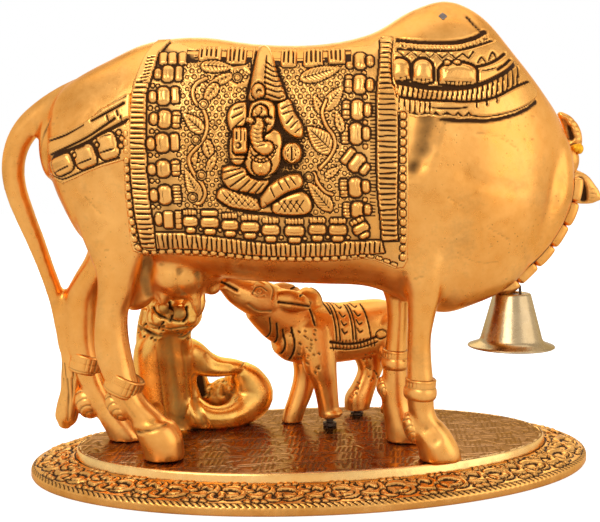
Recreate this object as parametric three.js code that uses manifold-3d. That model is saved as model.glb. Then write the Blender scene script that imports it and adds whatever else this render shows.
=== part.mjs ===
// Cast-metal figure: a cow with a draped cloth, a child seated under her, and her calf,
// on an oval base.
// Millimetres. X runs along the oval base, Y goes to its back, Z goes up, origin under the middle.

import * as THREE from 'three';
import { mergeVertices } from 'three/addons/utils/BufferGeometryUtils.js';
import Module from 'manifold-3d';

const wasm = await Module();
wasm.setup();

// Driving sizes
const BASE = { halfLength: 112.5, halfDepth: 67, rimWidth: 17, rimHeight: 7, height: 10 };
const GAP = 0.3;
const WELD = 0.01;
const FLOOR = BASE.height + GAP;
const COW = { x: -16.6, y: -16.4, turn: -10.5 };
const CALF = { x: 2, y: 21, turn: 196.5 };
const BACK_HEIGHT = 165;
const BARREL_HALF_WIDTH = 27.5;
const LEG_SPREAD = 13.5;
const CLOTH_THICKNESS = 1.2;
const BELL = { topRadius: 8, waistRadius: 12.8, lipRadius: 17.1, height: 21, wall: 1.1 };
const BELL_TOP = [90.4, 8, 69];
const LINK = { bend: 2, straight: 2.6, wire: 0.6, hole: 1, knot: 3.8 };
const SCREW_RADIUS = 2.1;

const GOLD = { color: 0xe2a04c, roughness: 0.3, metalness: 1 };
const PALE_BRASS = { color: 0xcbb48a, roughness: 0.28, metalness: 1 };
const DARK_STEEL = { color: 0x54493c, roughness: 0.5, metalness: 1 };

const DOWN = [0, 0, -1];

// Shaping helpers

// Carries rows of numbers through a smooth curve and returns them at even steps.
function smoothRows(rows, steps) {
  const tracks = rows[0].map((_, column) => new THREE.CatmullRomCurve3(
    rows.map((row, index) => new THREE.Vector3(index, row[column], 0)), false, 'catmullrom', 0.5));
  const at = (share) => tracks.map((track) => track.getPoint(share).y);
  return Array.from({ length: steps + 1 }, (_, k) => at(k / steps));
}

// Rings for a rounded end of the given length, one for each bend angle, from nearly closed outwards.
function endRings(frame, tangent, length, bends) {
  return bends.map((degrees) => {
    const swing = THREE.MathUtils.degToRad(degrees);
    return {
      centre: frame.centre.clone().addScaledVector(tangent, length * Math.sin(swing)),
      across: frame.across.clone().multiplyScalar(Math.cos(swing)),
      up: frame.up.clone().multiplyScalar(Math.cos(swing)),
    };
  });
}

// A closed skin over ovals. Each row is x, y, z of a centre, half the width, half the height and,
// if wanted, how far the top leans to the side.
// square 2 gives ellipses, more gives fuller corners; egg narrows the upper side; round closes the
// ends; facing keeps every section square to one direction; upright keeps them all vertical.
function loft(rows, options = {}) {
  const { around = 10, steps = 7, side = [0, 1, 0], square = 2, egg = 0 } = options;
  const { round = [0, 0], bends = [76, 40], facing = null, upright = false } = options;
  const values = smoothRows(rows, steps);
  const centres = values.map(([x, y, z]) => new THREE.Vector3(x, y, z));
  const level = new THREE.Vector3(1, 1, upright ? 0 : 1);
  const run = (k) => centres[Math.min(k + 1, steps)].clone().sub(centres[Math.max(k - 1, 0)]);
  const tangents = centres.map((_, k) => (facing ? new THREE.Vector3(...facing)
    : run(k).multiply(level).normalize()));
  let frames = values.map(([, , , halfWidth, halfHeight, lean = 0], k) => {
    const across = new THREE.Vector3(...side);
    across.addScaledVector(tangents[k], -across.dot(tangents[k])).normalize();
    const up = tangents[k].clone().cross(across);
    return {
      centre: centres[k],
      across: across.clone().multiplyScalar(halfWidth),
      up: up.multiplyScalar(halfHeight).addScaledVector(across, lean),
    };
  });
  if (round[0] > 0) {
    frames = [...endRings(frames[0], tangents[0].clone().negate(), round[0], bends), ...frames];
  }
  if (round[1] > 0) {
    frames = [...frames, ...endRings(frames.at(-1), tangents[steps], round[1], bends).reverse()];
  }
  const spans = frames.length - 1;
  const geometry = new THREE.CylinderGeometry(1, 1, spans, around, spans);
  const position = geometry.getAttribute('position');
  const fuller = (value) => Math.sign(value) * Math.abs(value) ** (2 / square);
  for (let i = 0; i < position.count; i += 1) {
    const frame = frames[Math.round(spans / 2 - position.getY(i))];
    const up = fuller(position.getZ(i));
    const across = fuller(position.getX(i)) * (1 - egg * up);
    const point = frame.centre.clone().addScaledVector(frame.across, across).addScaledVector(frame.up,
      up);
    position.setXYZ(i, point.x, point.y, point.z);
  }
  return geometry;
}

// A ball stretched to three half-sizes, then turned by degrees about X, Y and Z.
function ball(centre, halves, { around = 10, down = 6, turn = [0, 0, 0] } = {}) {
  const radians = turn.map((angle) => THREE.MathUtils.degToRad(angle));
  return new THREE.SphereGeometry(1, around, down).rotateX(Math.PI / 2).scale(...halves)
    .applyMatrix4(new THREE.Matrix4().makeRotationFromEuler(new THREE.Euler(...radians)))
    .translate(...centre);
}

// A ring-shaped band about a leg, bulging by the stated amount.
function band(centre, halves, height, tilt = 0, bulge = 1.1) {
  const [halfLong, halfAcross] = halves;
  const profile = [[0.6, -0.5], [0.96, -0.5], [1, 0], [0.96, 0.5], [0.6, 0.5]];
  const points = profile.map(([reach, level]) => new THREE.Vector2(reach, level));
  points.push(points[0].clone());
  return new THREE.LatheGeometry(points, 9).rotateX(Math.PI / 2)
    .scale(halfLong + bulge, halfAcross + bulge, height)
    .rotateY(THREE.MathUtils.degToRad(tilt)).translate(...centre);
}

function toSolid(geometry) {
  const bare = geometry.clone();
  bare.deleteAttribute('normal');
  bare.deleteAttribute('uv');
  const merged = mergeVertices(bare, 1e-4);
  const vertProperties = new Float32Array(merged.getAttribute('position').array);
  const triVerts = new Uint32Array(merged.index.array);
  return new wasm.Manifold(new wasm.Mesh({ numProp: 3, vertProperties, triVerts }));
}

const join = (...geometries) => geometries.flat().map(toSolid).reduce((sum, next) => sum.add(next));

// Turns a solid into a mesh,
// with corners closer than the weld made one and the faces between them dropped.
function toGeometry(solid) {
  const mesh = solid.getMesh();
  const raw = new THREE.BufferGeometry();
  raw.setAttribute('position', new THREE.BufferAttribute(new Float32Array(mesh.vertProperties), 3));
  raw.setIndex(new THREE.BufferAttribute(new Uint32Array(mesh.triVerts), 1));
  const geometry = mergeVertices(raw, WELD);
  const corners = geometry.index.array;
  const kept = [];
  for (let i = 0; i < corners.length; i += 3) {
    const [a, b, c] = corners.slice(i, i + 3);
    if (a !== b && b !== c && c !== a) kept.push(a, b, c);
  }
  geometry.setIndex(kept);
  geometry.computeVertexNormals();
  return geometry;
}

function piece(name, geometry, finish) {
  const mesh = new THREE.Mesh(geometry, new THREE.MeshStandardMaterial(finish));
  mesh.name = name;
  return mesh;
}

// Oval base: a plain side, a sloping rim and a raised plate with a vertical step.
function makeBase() {
  const { halfLength, halfDepth, rimWidth, rimHeight, height } = BASE;
  const levels = [[1.2, 0], [0, 1.4], [0.2, 4.2], [1.6, 5.5], [rimWidth - 0.8, rimHeight],
    [rimWidth, rimHeight - 0.4], [rimWidth, height - 0.5], [rimWidth + 0.6, height]];
  const spans = levels.length - 1;
  const geometry = new THREE.CylinderGeometry(1, 1, spans, 48, spans);
  const position = geometry.getAttribute('position');
  for (let i = 0; i < position.count; i += 1) {
    const [inset, level] = levels[Math.round(position.getY(i) + spans / 2)];
    position.setXYZ(i, position.getX(i) * (halfLength - inset),
      -position.getZ(i) * (halfDepth - inset), level);
  }
  return toGeometry(toSolid(geometry));
}

// The cow stands in her own frame: X to her head, Y away from her right side, Z up.
// Trunk and neck in one run, from the rump over the hump to the turned neck.
// Rows: x, y of the section, top, bottom, half width, lean of the crest to the far side.
const TRUNK = [
  [-86.5, 0, 141, 113.5, 9, 0], [-82, 0, 147.5, 103.5, 16, 0], [-75, 0, 153.5, 91.5, 20.5, 0],
  [-64, 0, 160, 85, 24, 0], [-49, 0, 166.2, 81.5, 26.5, 0],
  [-30, 0, BACK_HEIGHT + 2.2, 78.2, BARREL_HALF_WIDTH, 0],
  [-8, 0, BACK_HEIGHT - 0.4, 76.2, BARREL_HALF_WIDTH, 0],
  [14, 0, BACK_HEIGHT - 1, 74.6, BARREL_HALF_WIDTH, 0], [33, 0, 167.8, 73.5, 27, 0],
  [48, 0, 176.2, 67.5, 25.5, 0], [61, 0.5, 179.8, 63.5, 23, 0], [72.5, 2, 175, 66.5, 21.5, 0],
  [82.5, 6, 163.4, 71, 19.5, 0], [90.5, 12.5, 151.4, 77, 17.5, -2],
  [96.3, 21, 142.5, 83.5, 15.5, -3], [99, 31, 134, 91, 12, -2],
];

// Fullness of the chest between the fore legs.
const CHEST = { middle: [66, -0.5, 99], halves: [19, 19, 32] };

function trunkSkin(grow) {
  const rows = TRUNK.map(([x, y, top, bottom, half, lean]) => [
    x, y, (top + bottom) / 2, half + grow, (top - bottom) / 2 + grow, lean]);
  return loft(rows, { around: 20, steps: 20, square: 2.25, round: [5, 5], upright: true });
}

// Hanging cloth: the outline of each side panel, cut out of a slightly larger trunk.
function clothPanels() {
  const outline = new THREE.Shape();
  outline.moveTo(-44, 160);
  outline.quadraticCurveTo(-53.5, 147, -55, 131);
  outline.lineTo(-54.5, 86.5);
  outline.quadraticCurveTo(-54, 84, -50, 84.5);
  outline.quadraticCurveTo(-42, 88, -30, 86.5);
  outline.quadraticCurveTo(-8, 81.5, 14, 83.5);
  outline.quadraticCurveTo(30, 86, 41, 82.4);
  outline.quadraticCurveTo(45.6, 81.6, 45.6, 85);
  outline.lineTo(45.6, 139);
  outline.lineTo(41.6, 141);
  outline.lineTo(41.6, 166.5);
  outline.quadraticCurveTo(20, 158, -44, 160);
  const depth = 44;
  const panel = (front) => toSolid(
    new THREE.ExtrudeGeometry(outline, { depth, bevelEnabled: false, curveSegments: 5 })
      .rotateX(Math.PI / 2).translate(0, front + depth, 0));
  const skin = toSolid(trunkSkin(CLOTH_THICKNESS));
  return skin.intersect(panel(-depth - 5)).add(skin.intersect(panel(5)));
}

// Legs run down from inside the body. Rows: x, y, z, half across, half front to back.
const L = LEG_SPREAD;
const NEAR_FRONT = [
  [50, -9, 122, 9, 16], [51, -11, 100, 9.5, 14.5], [51.5, -12.5, 86, 9, 11.5],
  [52.3, -L, 77.5, 7.8, 7.6], [52.6, -L, 71, 6.8, 6], [52, -L, 64.5, 6, 5],
  [51.3, -L, 56, 5.5, 4.2], [51.3, -L, 47, 5.5, 4.5], [51.8, -L, 37, 6, 5],
  [52.2, -L, 29.5, 5.4, 4.8], [54, -L, 24, 5.8, 5.4], [56.4, -L, 18.6, 6.8, 6.7],
  [58.8, -L, 13.6, 7.4, 7.6], [59.4, -L, FLOOR, 7.4, 7.8],
];
const FAR_FRONT = [
  [46, 9, 122, 9, 16], [46, 11, 100, 9.5, 14], [45.8, 12.5, 84, 9, 10.4], [45.2, L, 72.4, 7.4, 6.6],
  [45.3, L, 66, 6.2, 4.6], [45.4, L, 58.5, 5.6, 4], [45, L, 50.5, 5.4, 4.1],
  [44.4, L, 43, 5.6, 4.4], [44.6, L, 35, 5.4, 4.3], [45.6, L, 27, 5.4, 4.3],
  [47.2, L, 20.5, 6, 4.9], [48.8, L, 14.5, 6.8, 6], [49.6, L, FLOOR, 7, 6.6],
];
const NEAR_HIND = [
  [-62, -9, 128, 10, 19], [-61, -11, 112, 11, 18.5], [-60, -12, 98, 10.5, 15],
  [-60, -12.5, 88, 9.8, 11], [-60, -13, 79.5, 8.6, 7.8], [-60.8, -L, 72, 7.4, 6.7],
  [-62.4, -L, 65, 6.8, 5.9], [-62.8, -L, 57, 6.5, 6.2], [-62, -L, 49, 6.3, 6.6],
  [-59.6, -L, 40.5, 6, 6], [-57.2, -L, 32.5, 5.8, 5.3], [-53, -L, 25.6, 6.2, 6.3],
  [-48.8, -L, 20, 7, 7.1], [-45.2, -L, 14.5, 7.6, 7.4], [-43.8, -L, FLOOR, 7.6, 7.4],
];
const FAR_HIND = [
  [-62, 10, 128, 10, 18], [-62, 12, 112, 11, 17], [-64, 12.5, 98, 10.5, 12],
  [-68.4, 13, 86, 9.8, 8.4], [-74.5, 13.5, 76, 8.6, 8], [-79.4, 14.4, 68, 7.6, 7.4],
  [-80.6, 14.5, 59, 6.8, 6.9], [-80.5, 14.5, 50, 6.4, 6.4], [-78.6, 14.5, 41, 6, 5.9],
  [-76.4, 14.5, 33.5, 5.8, 5.8], [-71.8, 14.5, 25.6, 6.2, 5.9], [-67.6, 14.5, 19, 7, 6.8],
  [-64, 14.5, 13.6, 7.6, 7.3], [-62.6, 14.5, FLOOR, 7.6, 7.4],
];

function leg(rows) {
  return loft(rows, { around: 8, steps: 13, square: 2.2, facing: DOWN });
}

// The anklet and the petal-shaped dewclaw behind the foot, given as its middle, half-sizes and tilt.
function legTrim(rows, ankletRow, tilt, petal) {
  const [x, y, z, across, along] = rows[ankletRow];
  return [
    band([x, y, z], [along, across], 7.5, tilt),
    ball(petal.middle, petal.halves, { around: 7, down: 4, turn: [0, petal.tilt, 0] }),
  ];
}

// Tail: leaves the rump in an arch and hangs down to the far hind leg, with a tuft at its end.
const TAIL = [
  [-72, 0, 146.5, 7, 7], [-81, 0, 143, 5.8, 6.4], [-89, 0.5, 139, 5, 5.6],
  [-95.6, 1.5, 133.5, 4.6, 4.9], [-100, 2.2, 127, 4.4, 4.6], [-102.2, 3, 118.5, 4.2, 4.5],
  [-101.6, 4, 110, 4, 4.4], [-98.6, 6, 100, 3.8, 4.1], [-94.8, 8.5, 90, 3.6, 3.7],
  [-91.2, 11.5, 78, 3.6, 3.3], [-88.6, 13.5, 66, 3.7, 3.2], [-87.4, 14.6, 54, 3.9, 3.4],
  [-86.4, 15, 46, 4, 3.6],
];
const TUFT = [
  [-86.6, 15, 50, 3.6, 3.4], [-86.2, 15, 41, 4.6, 4.4], [-87, 15, 32, 5, 5.2],
  [-88.2, 15, 23, 4.6, 5], [-88.8, 15, 17, 3.2, 3.4],
];

// Head: from the poll down to the muzzle, turned to the far side.
const HEAD = [
  [100.5, 22, 125, 9.5, 9], [101, 29, 123.5, 11.5, 11], [101.6, 36, 119.5, 12, 12.5],
  [102.2, 44, 114, 10.6, 12], [102.8, 51, 108.5, 8.6, 10.3], [103.3, 58, 103.5, 7.6, 8.6],
  [103.6, 63.5, 100, 7.4, 7.4],
];
const HORN = [
  [10, 27, 124, 3.2, 3.2], [14.6, 27, 125.6, 3, 3], [15.8, 26.6, 129.5, 2.7, 2.8],
  [15, 26, 133.6, 2.3, 2.4], [12.6, 25.4, 137.4, 1.8, 1.8], [9.8, 25, 140, 0.9, 0.9],
];
const EAR = [
  [9, 30, 113, 1.6, 3.4], [15, 29.6, 111.6, 2, 6], [20.5, 29.2, 109.8, 2, 6.6],
  [25.4, 28.8, 107.8, 1.6, 4.4], [28, 28.6, 106.8, 0.8, 1.6],
];
const HEAD_MIDDLE = 101.5;

function headPieces() {
  const shapes = [loft(HEAD, {
    around: 12, steps: 8, side: [1, 0, 0], square: 2.3, egg: -0.12, round: [0, 3.5] })];
  for (const way of [1, -1]) {
    const place = ([x, ...rest]) => [HEAD_MIDDLE + way * x, ...rest];
    shapes.push(loft(HORN.map(place), { around: 6, steps: 7 }));
    shapes.push(loft(EAR.map(place), { around: 6, steps: 6 }));
    const eye = [HEAD_MIDDLE + way * 10.2, 41.5, 120];
    shapes.push(ball(eye, [2.2, 3.4, 2.6], { around: 7, down: 4, turn: [-35, 0, 0] }));
  }
  return shapes;
}

// Garland: blocks on a loop from below the near ear, round the dewlap to the bell, and up the far side.
const GARLAND = [
  [114.4, 13.5, 111], [113, 8.5, 104.5], [110.6, 5, 99.5], [107, 3.6, 93.4], [101.8, 3.4, 85.6],
  [96, 4.4, 79.4], [90.2, 7.4, 74], [84.5, 12, 74], [80.5, 18, 78], [79, 23, 86], [79.5, 28, 95],
  [82, 32, 104], [86, 34, 112],
];

const BLOCK = { count: 16, halfLength: 3.1, halfWidth: 2.5, halfHeight: 2.7 };

function garlandBlocks() {
  const path = new THREE.CatmullRomCurve3(GARLAND.map((point) => new THREE.Vector3(...point)));
  const blocks = [];
  for (let k = 0; k < BLOCK.count; k += 1) {
    const along = (k + 0.5) / BLOCK.count;
    const middle = path.getPointAt(along);
    const ahead = path.getTangentAt(along).multiplyScalar(BLOCK.halfLength);
    const from = middle.clone().sub(ahead);
    const to = middle.clone().add(ahead);
    const rows = [from, to].map((point) => [...point.toArray(), BLOCK.halfWidth, BLOCK.halfHeight]);
    blocks.push(loft(rows, { around: 6, steps: 1, side: [0.6, 0.8, 0], round: [0.7, 0.7],
      bends: [45] }));
  }
  return blocks;
}

// Udder: a round bag with three teats below it and one reaching forward to the calf's muzzle.
const UDDER_FRONT = -27.6;
const TEATS = [
  [[-44.5, -5, 74, 4, 4], [-44.6, -5.4, 69, 3.4, 3.4], [-44.6, -5.5, 65.5, 2.4, 2.4]],
  [[-37, -6, 73, 4, 4], [-36.6, -6.4, 68, 3.2, 3.2], [-36.4, -6.5, 64.6, 2.6, 2.6]],
  [[-42, 9, 76, 4.4, 4.4], [-42.6, 10, 71.5, 3, 3], [-42.8, 10.4, 69, 2.2, 2.2]],
  [[-33, 1.5, 76, 6, 5], [-29, 1.8, 73, 4, 3.6], [UDDER_FRONT, 2, 71, 2.8, 2.8]],
];

function udderPieces() {
  return [
    ball([-40, 1, 79], [15, 14, 11], { around: 14, down: 8 }),
    ...TEATS.map((rows) => loft(rows, { around: 7, steps: 2, round: [0, 1.6] })),
  ];
}

function makeCow() {
  const legs = [
    [NEAR_FRONT, 8, 3, { middle: [48.6, -L, 22], halves: [2.8, 4.4, 5.8], tilt: -16 }],
    [FAR_FRONT, 7, 3, { middle: [40.4, L, 31], halves: [3, 4.4, 4.6], tilt: -16 }],
    [NEAR_HIND, 9, 22, { middle: [-61, -L, 30], halves: [3.6, 4.6, 6], tilt: -30 }],
    [FAR_HIND, 8, 14, { middle: [-78.4, 14, 25], halves: [5.2, 5, 6.6], tilt: -24 }],
  ];
  const body = join(
    trunkSkin(0),
    ball(CHEST.middle, CHEST.halves, { around: 12, down: 7 }),
    legs.map(([rows]) => leg(rows)),
    legs.flatMap(([rows, anklet, tilt, petal]) => legTrim(rows, anklet, tilt, petal)),
    loft(TAIL, { around: 7, steps: 15 }),
    loft(TUFT, { around: 8, steps: 5, round: [0, 3] }),
    headPieces(),
    garlandBlocks(),
    udderPieces(),
  );
  const hole = wireRing(LINK.hole).translate(...BELL_TOP);
  return toGeometry(body.add(clothPanels()).subtract(toSolid(hole)));
}

// The bell: a thin flared cone, open below, with a hole in its flat top for the wire.
function makeBell() {
  const { topRadius, waistRadius, lipRadius, height, wall } = BELL;
  const hole = LINK.bend + LINK.wire + 0.4;
  const outline = [
    [hole, 0], [topRadius - 0.8, 0], [topRadius, -0.9], [waistRadius - 0.6, -height + 5.4],
    [waistRadius + 0.6, -height + 3.2], [lipRadius, -height + 1], [lipRadius, -height],
    [waistRadius - wall + 0.4, -height + 1.6], [waistRadius - wall - 0.8, -height + 4.6],
    [topRadius - wall, -wall - 0.8], [hole, -wall - 0.2], [hole, 0],
  ].map(([radius, level]) => new THREE.Vector2(radius, level)).reverse();
  return new THREE.LatheGeometry(outline, 22).rotateX(Math.PI / 2);
}

// Long wire ring through the lowest garland block and the bell's top, with a knot under the top.
function wireRing(thickness) {
  const ring = new THREE.TorusGeometry(LINK.bend, thickness, 5, 14).rotateX(Math.PI / 2);
  const position = ring.getAttribute('position');
  for (let i = 0; i < position.count; i += 1) {
    const z = position.getZ(i);
    position.setZ(i, z + THREE.MathUtils.clamp(z * 4, -1, 1) * LINK.straight);
  }
  return ring;
}

function makeLink() {
  const ring = wireRing(LINK.wire);
  const knot = ball([0, 0, -LINK.bend - LINK.straight],
    [LINK.knot, LINK.knot, 1.3], { around: 7, down: 4 });
  return toGeometry(join(ring, knot));
}

// Seated child in the frame of the base, his back to the front. Rows as for loft.
const CHILD = {
  torso: [
    [-57, 28.5, FLOOR, 14, 11], [-58, 27.5, 17, 14.2, 12], [-59.6, 25, 27, 13, 10.8],
    [-60, 21, 37, 13.2, 9.4], [-60, 16.5, 45, 12.2, 8], [-58.4, 13, 50.5, 9.4, 6.6],
    [-57, 10, 54.5, 7.6, 5.8], [-56, 7.5, 58, 6.6, 5.4],
  ],
  armToKnee: [
    [-49, 18.5, 42, 5, 6.4], [-44, 21, 37.6, 4.6, 5], [-38, 22, 36.4, 4, 4.4],
    [-32, 23.4, 36.4, 3.4, 3.4], [-27.4, 25, 36.2, 3, 2.6],
  ],
  armRaised: [
    [-66.4, 19, 43, 4.6, 5], [-67.4, 16.5, 49, 4, 4.4], [-67.2, 13.5, 56, 3.6, 3.8],
    [-66.4, 11, 62, 3.2, 3.2],
  ],
  thighRaised: [
    [-51, 22, 17.5, 8, 7], [-42, 20.4, 15, 5.6, 4.9], [-34, 21.6, 15, 5.6, 5],
    [-27, 25.4, 17.6, 6, 6.4], [-22.2, 28, 24, 5.8, 7], [-23.2, 27.6, 31, 4.6, 4.6],
    [-26.2, 26, 35.4, 3.4, 3],
  ],
  shinRaised: [
    [-23.6, 31, 29, 4.4, 4.4], [-30, 37, 22.5, 4.2, 4.4], [-38, 42, 16, 3.8, 4],
    [-45, 44, 14, 4.4, 3.4],
  ],
  thighFlat: [[-62, 29, 17.4, 8, 7], [-68, 37, 16.8, 6.6, 6.2], [-70, 44, 18, 5.4, 5.4]],
  shinFlat: [[-69, 44, 17, 4.6, 4.8], [-60, 47, 15, 4.2, 4.4], [-51, 48, 14.2, 4.4, 3.8]],
};

function makeChild() {
  const limb = (rows, options = {}) => loft(rows, {
    around: 7, steps: 4, round: [1.5, 1.5], bends: [50], ...options });
  const solid = join(
    loft(CHILD.torso, { around: 14, steps: 9, side: [1, 0, 0], square: 2.4 }),
    ball([-55, 6, 60.4], [9.6, 8.2, 7.4], { around: 12, down: 8, turn: [20, 0, 0] }),
    ball([-54.8, -3, 61.6], [3.6, 3, 2.9], { around: 8, down: 5 }),
    limb(CHILD.armToKnee),
    limb(CHILD.armRaised),
    limb(CHILD.thighRaised, { around: 8, steps: 8 }),
    limb(CHILD.shinRaised),
    limb(CHILD.thighFlat, { side: [1, 0, 0] }),
    limb(CHILD.shinFlat),
  );
  const ground = new THREE.BoxGeometry(160, 160, 40).translate(-50, 30, FLOOR - 20);
  return toGeometry(solid.subtract(toSolid(ground)));
}

// The calf has her own frame: X to her head, Y to her left side, Z up. Soles sit at these heights.
const CALF_SOLES = { leftFront: 13.9, rightFront: FLOOR, leftHind: 12.2, rightHind: 12.4 };
const CALF_PARTS = {
  body: [
    [-42, 0, 52, 6.5, 7.5], [-36, 0, 50.6, 9, 11], [-26, 0, 49.2, 10, 12.6],
    [-14, 0, 48.4, 10, 12.8], [-4, 0, 49, 10.2, 13.2], [5, 0, 50, 9.4, 13.6],
    [11, 0.4, 50.4, 8, 12.4], [15.5, 0.6, 51, 6.8, 9.6],
  ],
  neck: [
    [0, 0, 54, 7.4, 11], [8, 0.8, 55, 7.2, 12], [15, 2, 57.4, 6.6, 11.6],
    [22.5, 4, 61.4, 6, 9.6], [28, 5.6, 64.6, 5.4, 7.6],
  ],
  head: [
    [19.5, 4, 63.6, 5.6, 7], [26.5, 6, 65.4, 6, 7.8], [33, 7.6, 67.8, 5.4, 6.8],
    [38, 8.8, 70, 4.3, 5.6], [42, 9.6, 72.6, 3.6, 4.2], [44, 10, 73.8, 3.3, 3.6],
  ],
  earLeft: [
    [21.5, 8.8, 66.2, 1.3, 2.8], [15.5, 9.6, 65, 1.8, 4.3], [9.5, 9.5, 63.2, 1.6, 3.6],
    [5, 9, 62.2, 0.8, 1.4],
  ],
  earRight: [
    [19, -1.6, 67.4, 1.2, 2.6], [13, -3.4, 67.4, 1.6, 3.4], [7, -4.6, 66.4, 1.5, 3],
    [3, -5.2, 65.4, 0.7, 1.3],
  ],
  tail: [[-43, 0, 55, 2.2, 2.4], [-46.6, 0, 48, 2, 2], [-46.8, 0, 38, 2, 2], [-45.6, 0, 30, 2.4, 2.6]],
};
const CALF_LEGS = [
  [
    [2, 6, 50, 4.8, 9], [0.2, 6.6, 40, 5, 7.8], [-0.6, 6.8, 34, 4.8, 7], [-2.4, 6.8, 28, 4.5, 6.4],
    [-3.8, 6.8, 20, 4.6, 6], [-4.9, 6.8, CALF_SOLES.leftFront, 4.8, 5.6],
  ],
  [
    [2, -5, 48, 4.6, 8], [0.2, -5.6, 36, 4.4, 6], [0.4, -6, 29, 4.2, 5.2], [2.6, -6, 21.5, 4.2, 5],
    [5.4, -6, 15, 4.2, 4.6], [6.8, -6, CALF_SOLES.rightFront, 4, 4.4],
  ],
  [
    [-33, 6, 50, 4.8, 9], [-36, 6, 38, 4.6, 7.4], [-38.6, 6, 29, 4, 5], [-37.4, 6, 21, 4.2, 4.8],
    [-35.6, 6, CALF_SOLES.leftHind, 4.4, 4.8],
  ],
  [
    [-30, -6, 50, 4.8, 9.6], [-31.6, -6, 37, 4.6, 8.2], [-32, -6, 30, 4.2, 6],
    [-29.4, -6, 24, 4.2, 5.8], [-26.4, -6, 18.5, 4.6, 6.6],
    [-25.2, -6, CALF_SOLES.rightHind, 4.8, 5.6],
  ],
];

function makeCalf() {
  const legs = CALF_LEGS.map((rows) => loft(rows, { around: 7, steps: 5, square: 2.2, facing: DOWN }));
  return toGeometry(join(
    loft(CALF_PARTS.body, { around: 12, steps: 9, square: 2.2, round: [3, 2] }),
    loft(CALF_PARTS.neck, { around: 12, steps: 6 }),
    loft(CALF_PARTS.head, { around: 10, steps: 7, round: [0, 1.6] }),
    ball([2.6, 1.5, 62], [6.4, 4.6, 7], { around: 10, down: 7, turn: [0, 16, 0] }),
    legs,
    loft(CALF_PARTS.earLeft, { around: 6, steps: 5 }),
    loft(CALF_PARTS.earRight, { around: 6, steps: 5 }),
    loft(CALF_PARTS.tail, { around: 6, steps: 7, round: [0, 2] }),
  ));
}

// A short screw under a raised foot: a shank with a nut resting on the plate.
function makeScrew(length) {
  const outline = [
    [0, 0], [SCREW_RADIUS + 0.9, 0], [SCREW_RADIUS + 0.9, length * 0.38],
    [SCREW_RADIUS * 0.72, length * 0.45], [SCREW_RADIUS * 0.72, length * 0.72],
    [SCREW_RADIUS + 0.3, length * 0.78], [SCREW_RADIUS + 0.3, length], [0, length],
  ].map(([radius, level]) => new THREE.Vector2(radius, level));
  return new THREE.LatheGeometry(outline, 8).rotateX(Math.PI / 2);
}

// Assembly
const figure = new THREE.Group();
figure.add(piece('base', makeBase(), GOLD));

const cowStand = new THREE.Group();
cowStand.position.set(COW.x, COW.y, 0);
cowStand.rotation.z = THREE.MathUtils.degToRad(COW.turn);
cowStand.add(piece('cow', makeCow(), GOLD));
const bell = piece('bell', makeBell(), PALE_BRASS);
bell.position.set(...BELL_TOP);
const link = piece('bell_wire', makeLink(), DARK_STEEL);
link.position.set(BELL_TOP[0], BELL_TOP[1], BELL_TOP[2]);
cowStand.add(bell, link);
figure.add(cowStand);

figure.add(piece('seated_child', makeChild(), GOLD));

const calfStand = new THREE.Group();
calfStand.position.set(CALF.x, CALF.y, 0);
calfStand.rotation.z = THREE.MathUtils.degToRad(CALF.turn);
calfStand.add(piece('calf', makeCalf(), GOLD));
const raisedFeet = [['calf_screw_front', 0], ['calf_screw_hind_left', 2], ['calf_screw_hind_right', 3]];
for (const [name, index] of raisedFeet) {
  const [x, y, sole] = CALF_LEGS[index].at(-1);
  const screw = piece(name, makeScrew(sole - GAP - FLOOR), DARK_STEEL);
  screw.position.set(x, y, FLOOR);
  calfStand.add(screw);
}
figure.add(calfStand);

export default figure;
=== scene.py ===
# Looks of a cast-metal figure: a cow with a draped cloth, a child seated under her, her calf, a bell.
import math

import bmesh
import bpy
import numpy as np
from mathutils import Matrix, Vector
from mathutils.bvhtree import BVHTree


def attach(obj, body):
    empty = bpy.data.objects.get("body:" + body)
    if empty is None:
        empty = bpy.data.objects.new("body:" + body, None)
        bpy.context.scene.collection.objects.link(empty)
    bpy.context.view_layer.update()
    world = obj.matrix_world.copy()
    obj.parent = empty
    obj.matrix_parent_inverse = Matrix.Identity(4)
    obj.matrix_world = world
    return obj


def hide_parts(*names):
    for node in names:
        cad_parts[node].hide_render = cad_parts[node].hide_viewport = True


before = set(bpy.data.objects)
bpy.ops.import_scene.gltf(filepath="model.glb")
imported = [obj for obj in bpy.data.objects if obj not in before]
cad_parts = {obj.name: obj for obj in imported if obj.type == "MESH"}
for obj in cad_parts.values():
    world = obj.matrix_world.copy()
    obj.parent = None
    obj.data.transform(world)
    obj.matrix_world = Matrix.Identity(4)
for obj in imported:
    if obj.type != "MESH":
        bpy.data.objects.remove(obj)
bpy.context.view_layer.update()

scene = bpy.context.scene
MM = 0.001  # a millimetre in the scene's metres
FLOOR = 10.3  # the level of the soles on the plate
L = 13.5  # how far the cow's legs stand from her middle
FAR = 70  # where the lines that look for an animal's skin start
SKIRT = 1.6  # how far the back of a relief lies under its rim
SHELL_STEP = 1.2  # how far apart the lines stand that find the skin under a relief
CALM = 0.6  # how far one round of evening goes towards the middle of the neighbours
PRESS, LET_GO = 0.55, 0.57  # a round of smoothing draws the skin in, then lets it out again
rng = np.random.default_rng(7)


# ---- Frames of the cow, of the calf and of the base, in millimetres ----

def stand(x, y, turn):
    """A frame set down on the base and turned about the upright."""
    return Matrix.Translation((x, y, 0)) @ Matrix.Rotation(math.radians(turn), 4, "Z")


COW = stand(-16.6, -16.4, -10.5)
CALF = stand(2, 21, 196.5)
BASE = Matrix.Identity(4)


# ---- Nets of points ----

def unit(v):
    return v / np.maximum(np.linalg.norm(v, axis=-1, keepdims=True), 1e-9)


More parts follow.
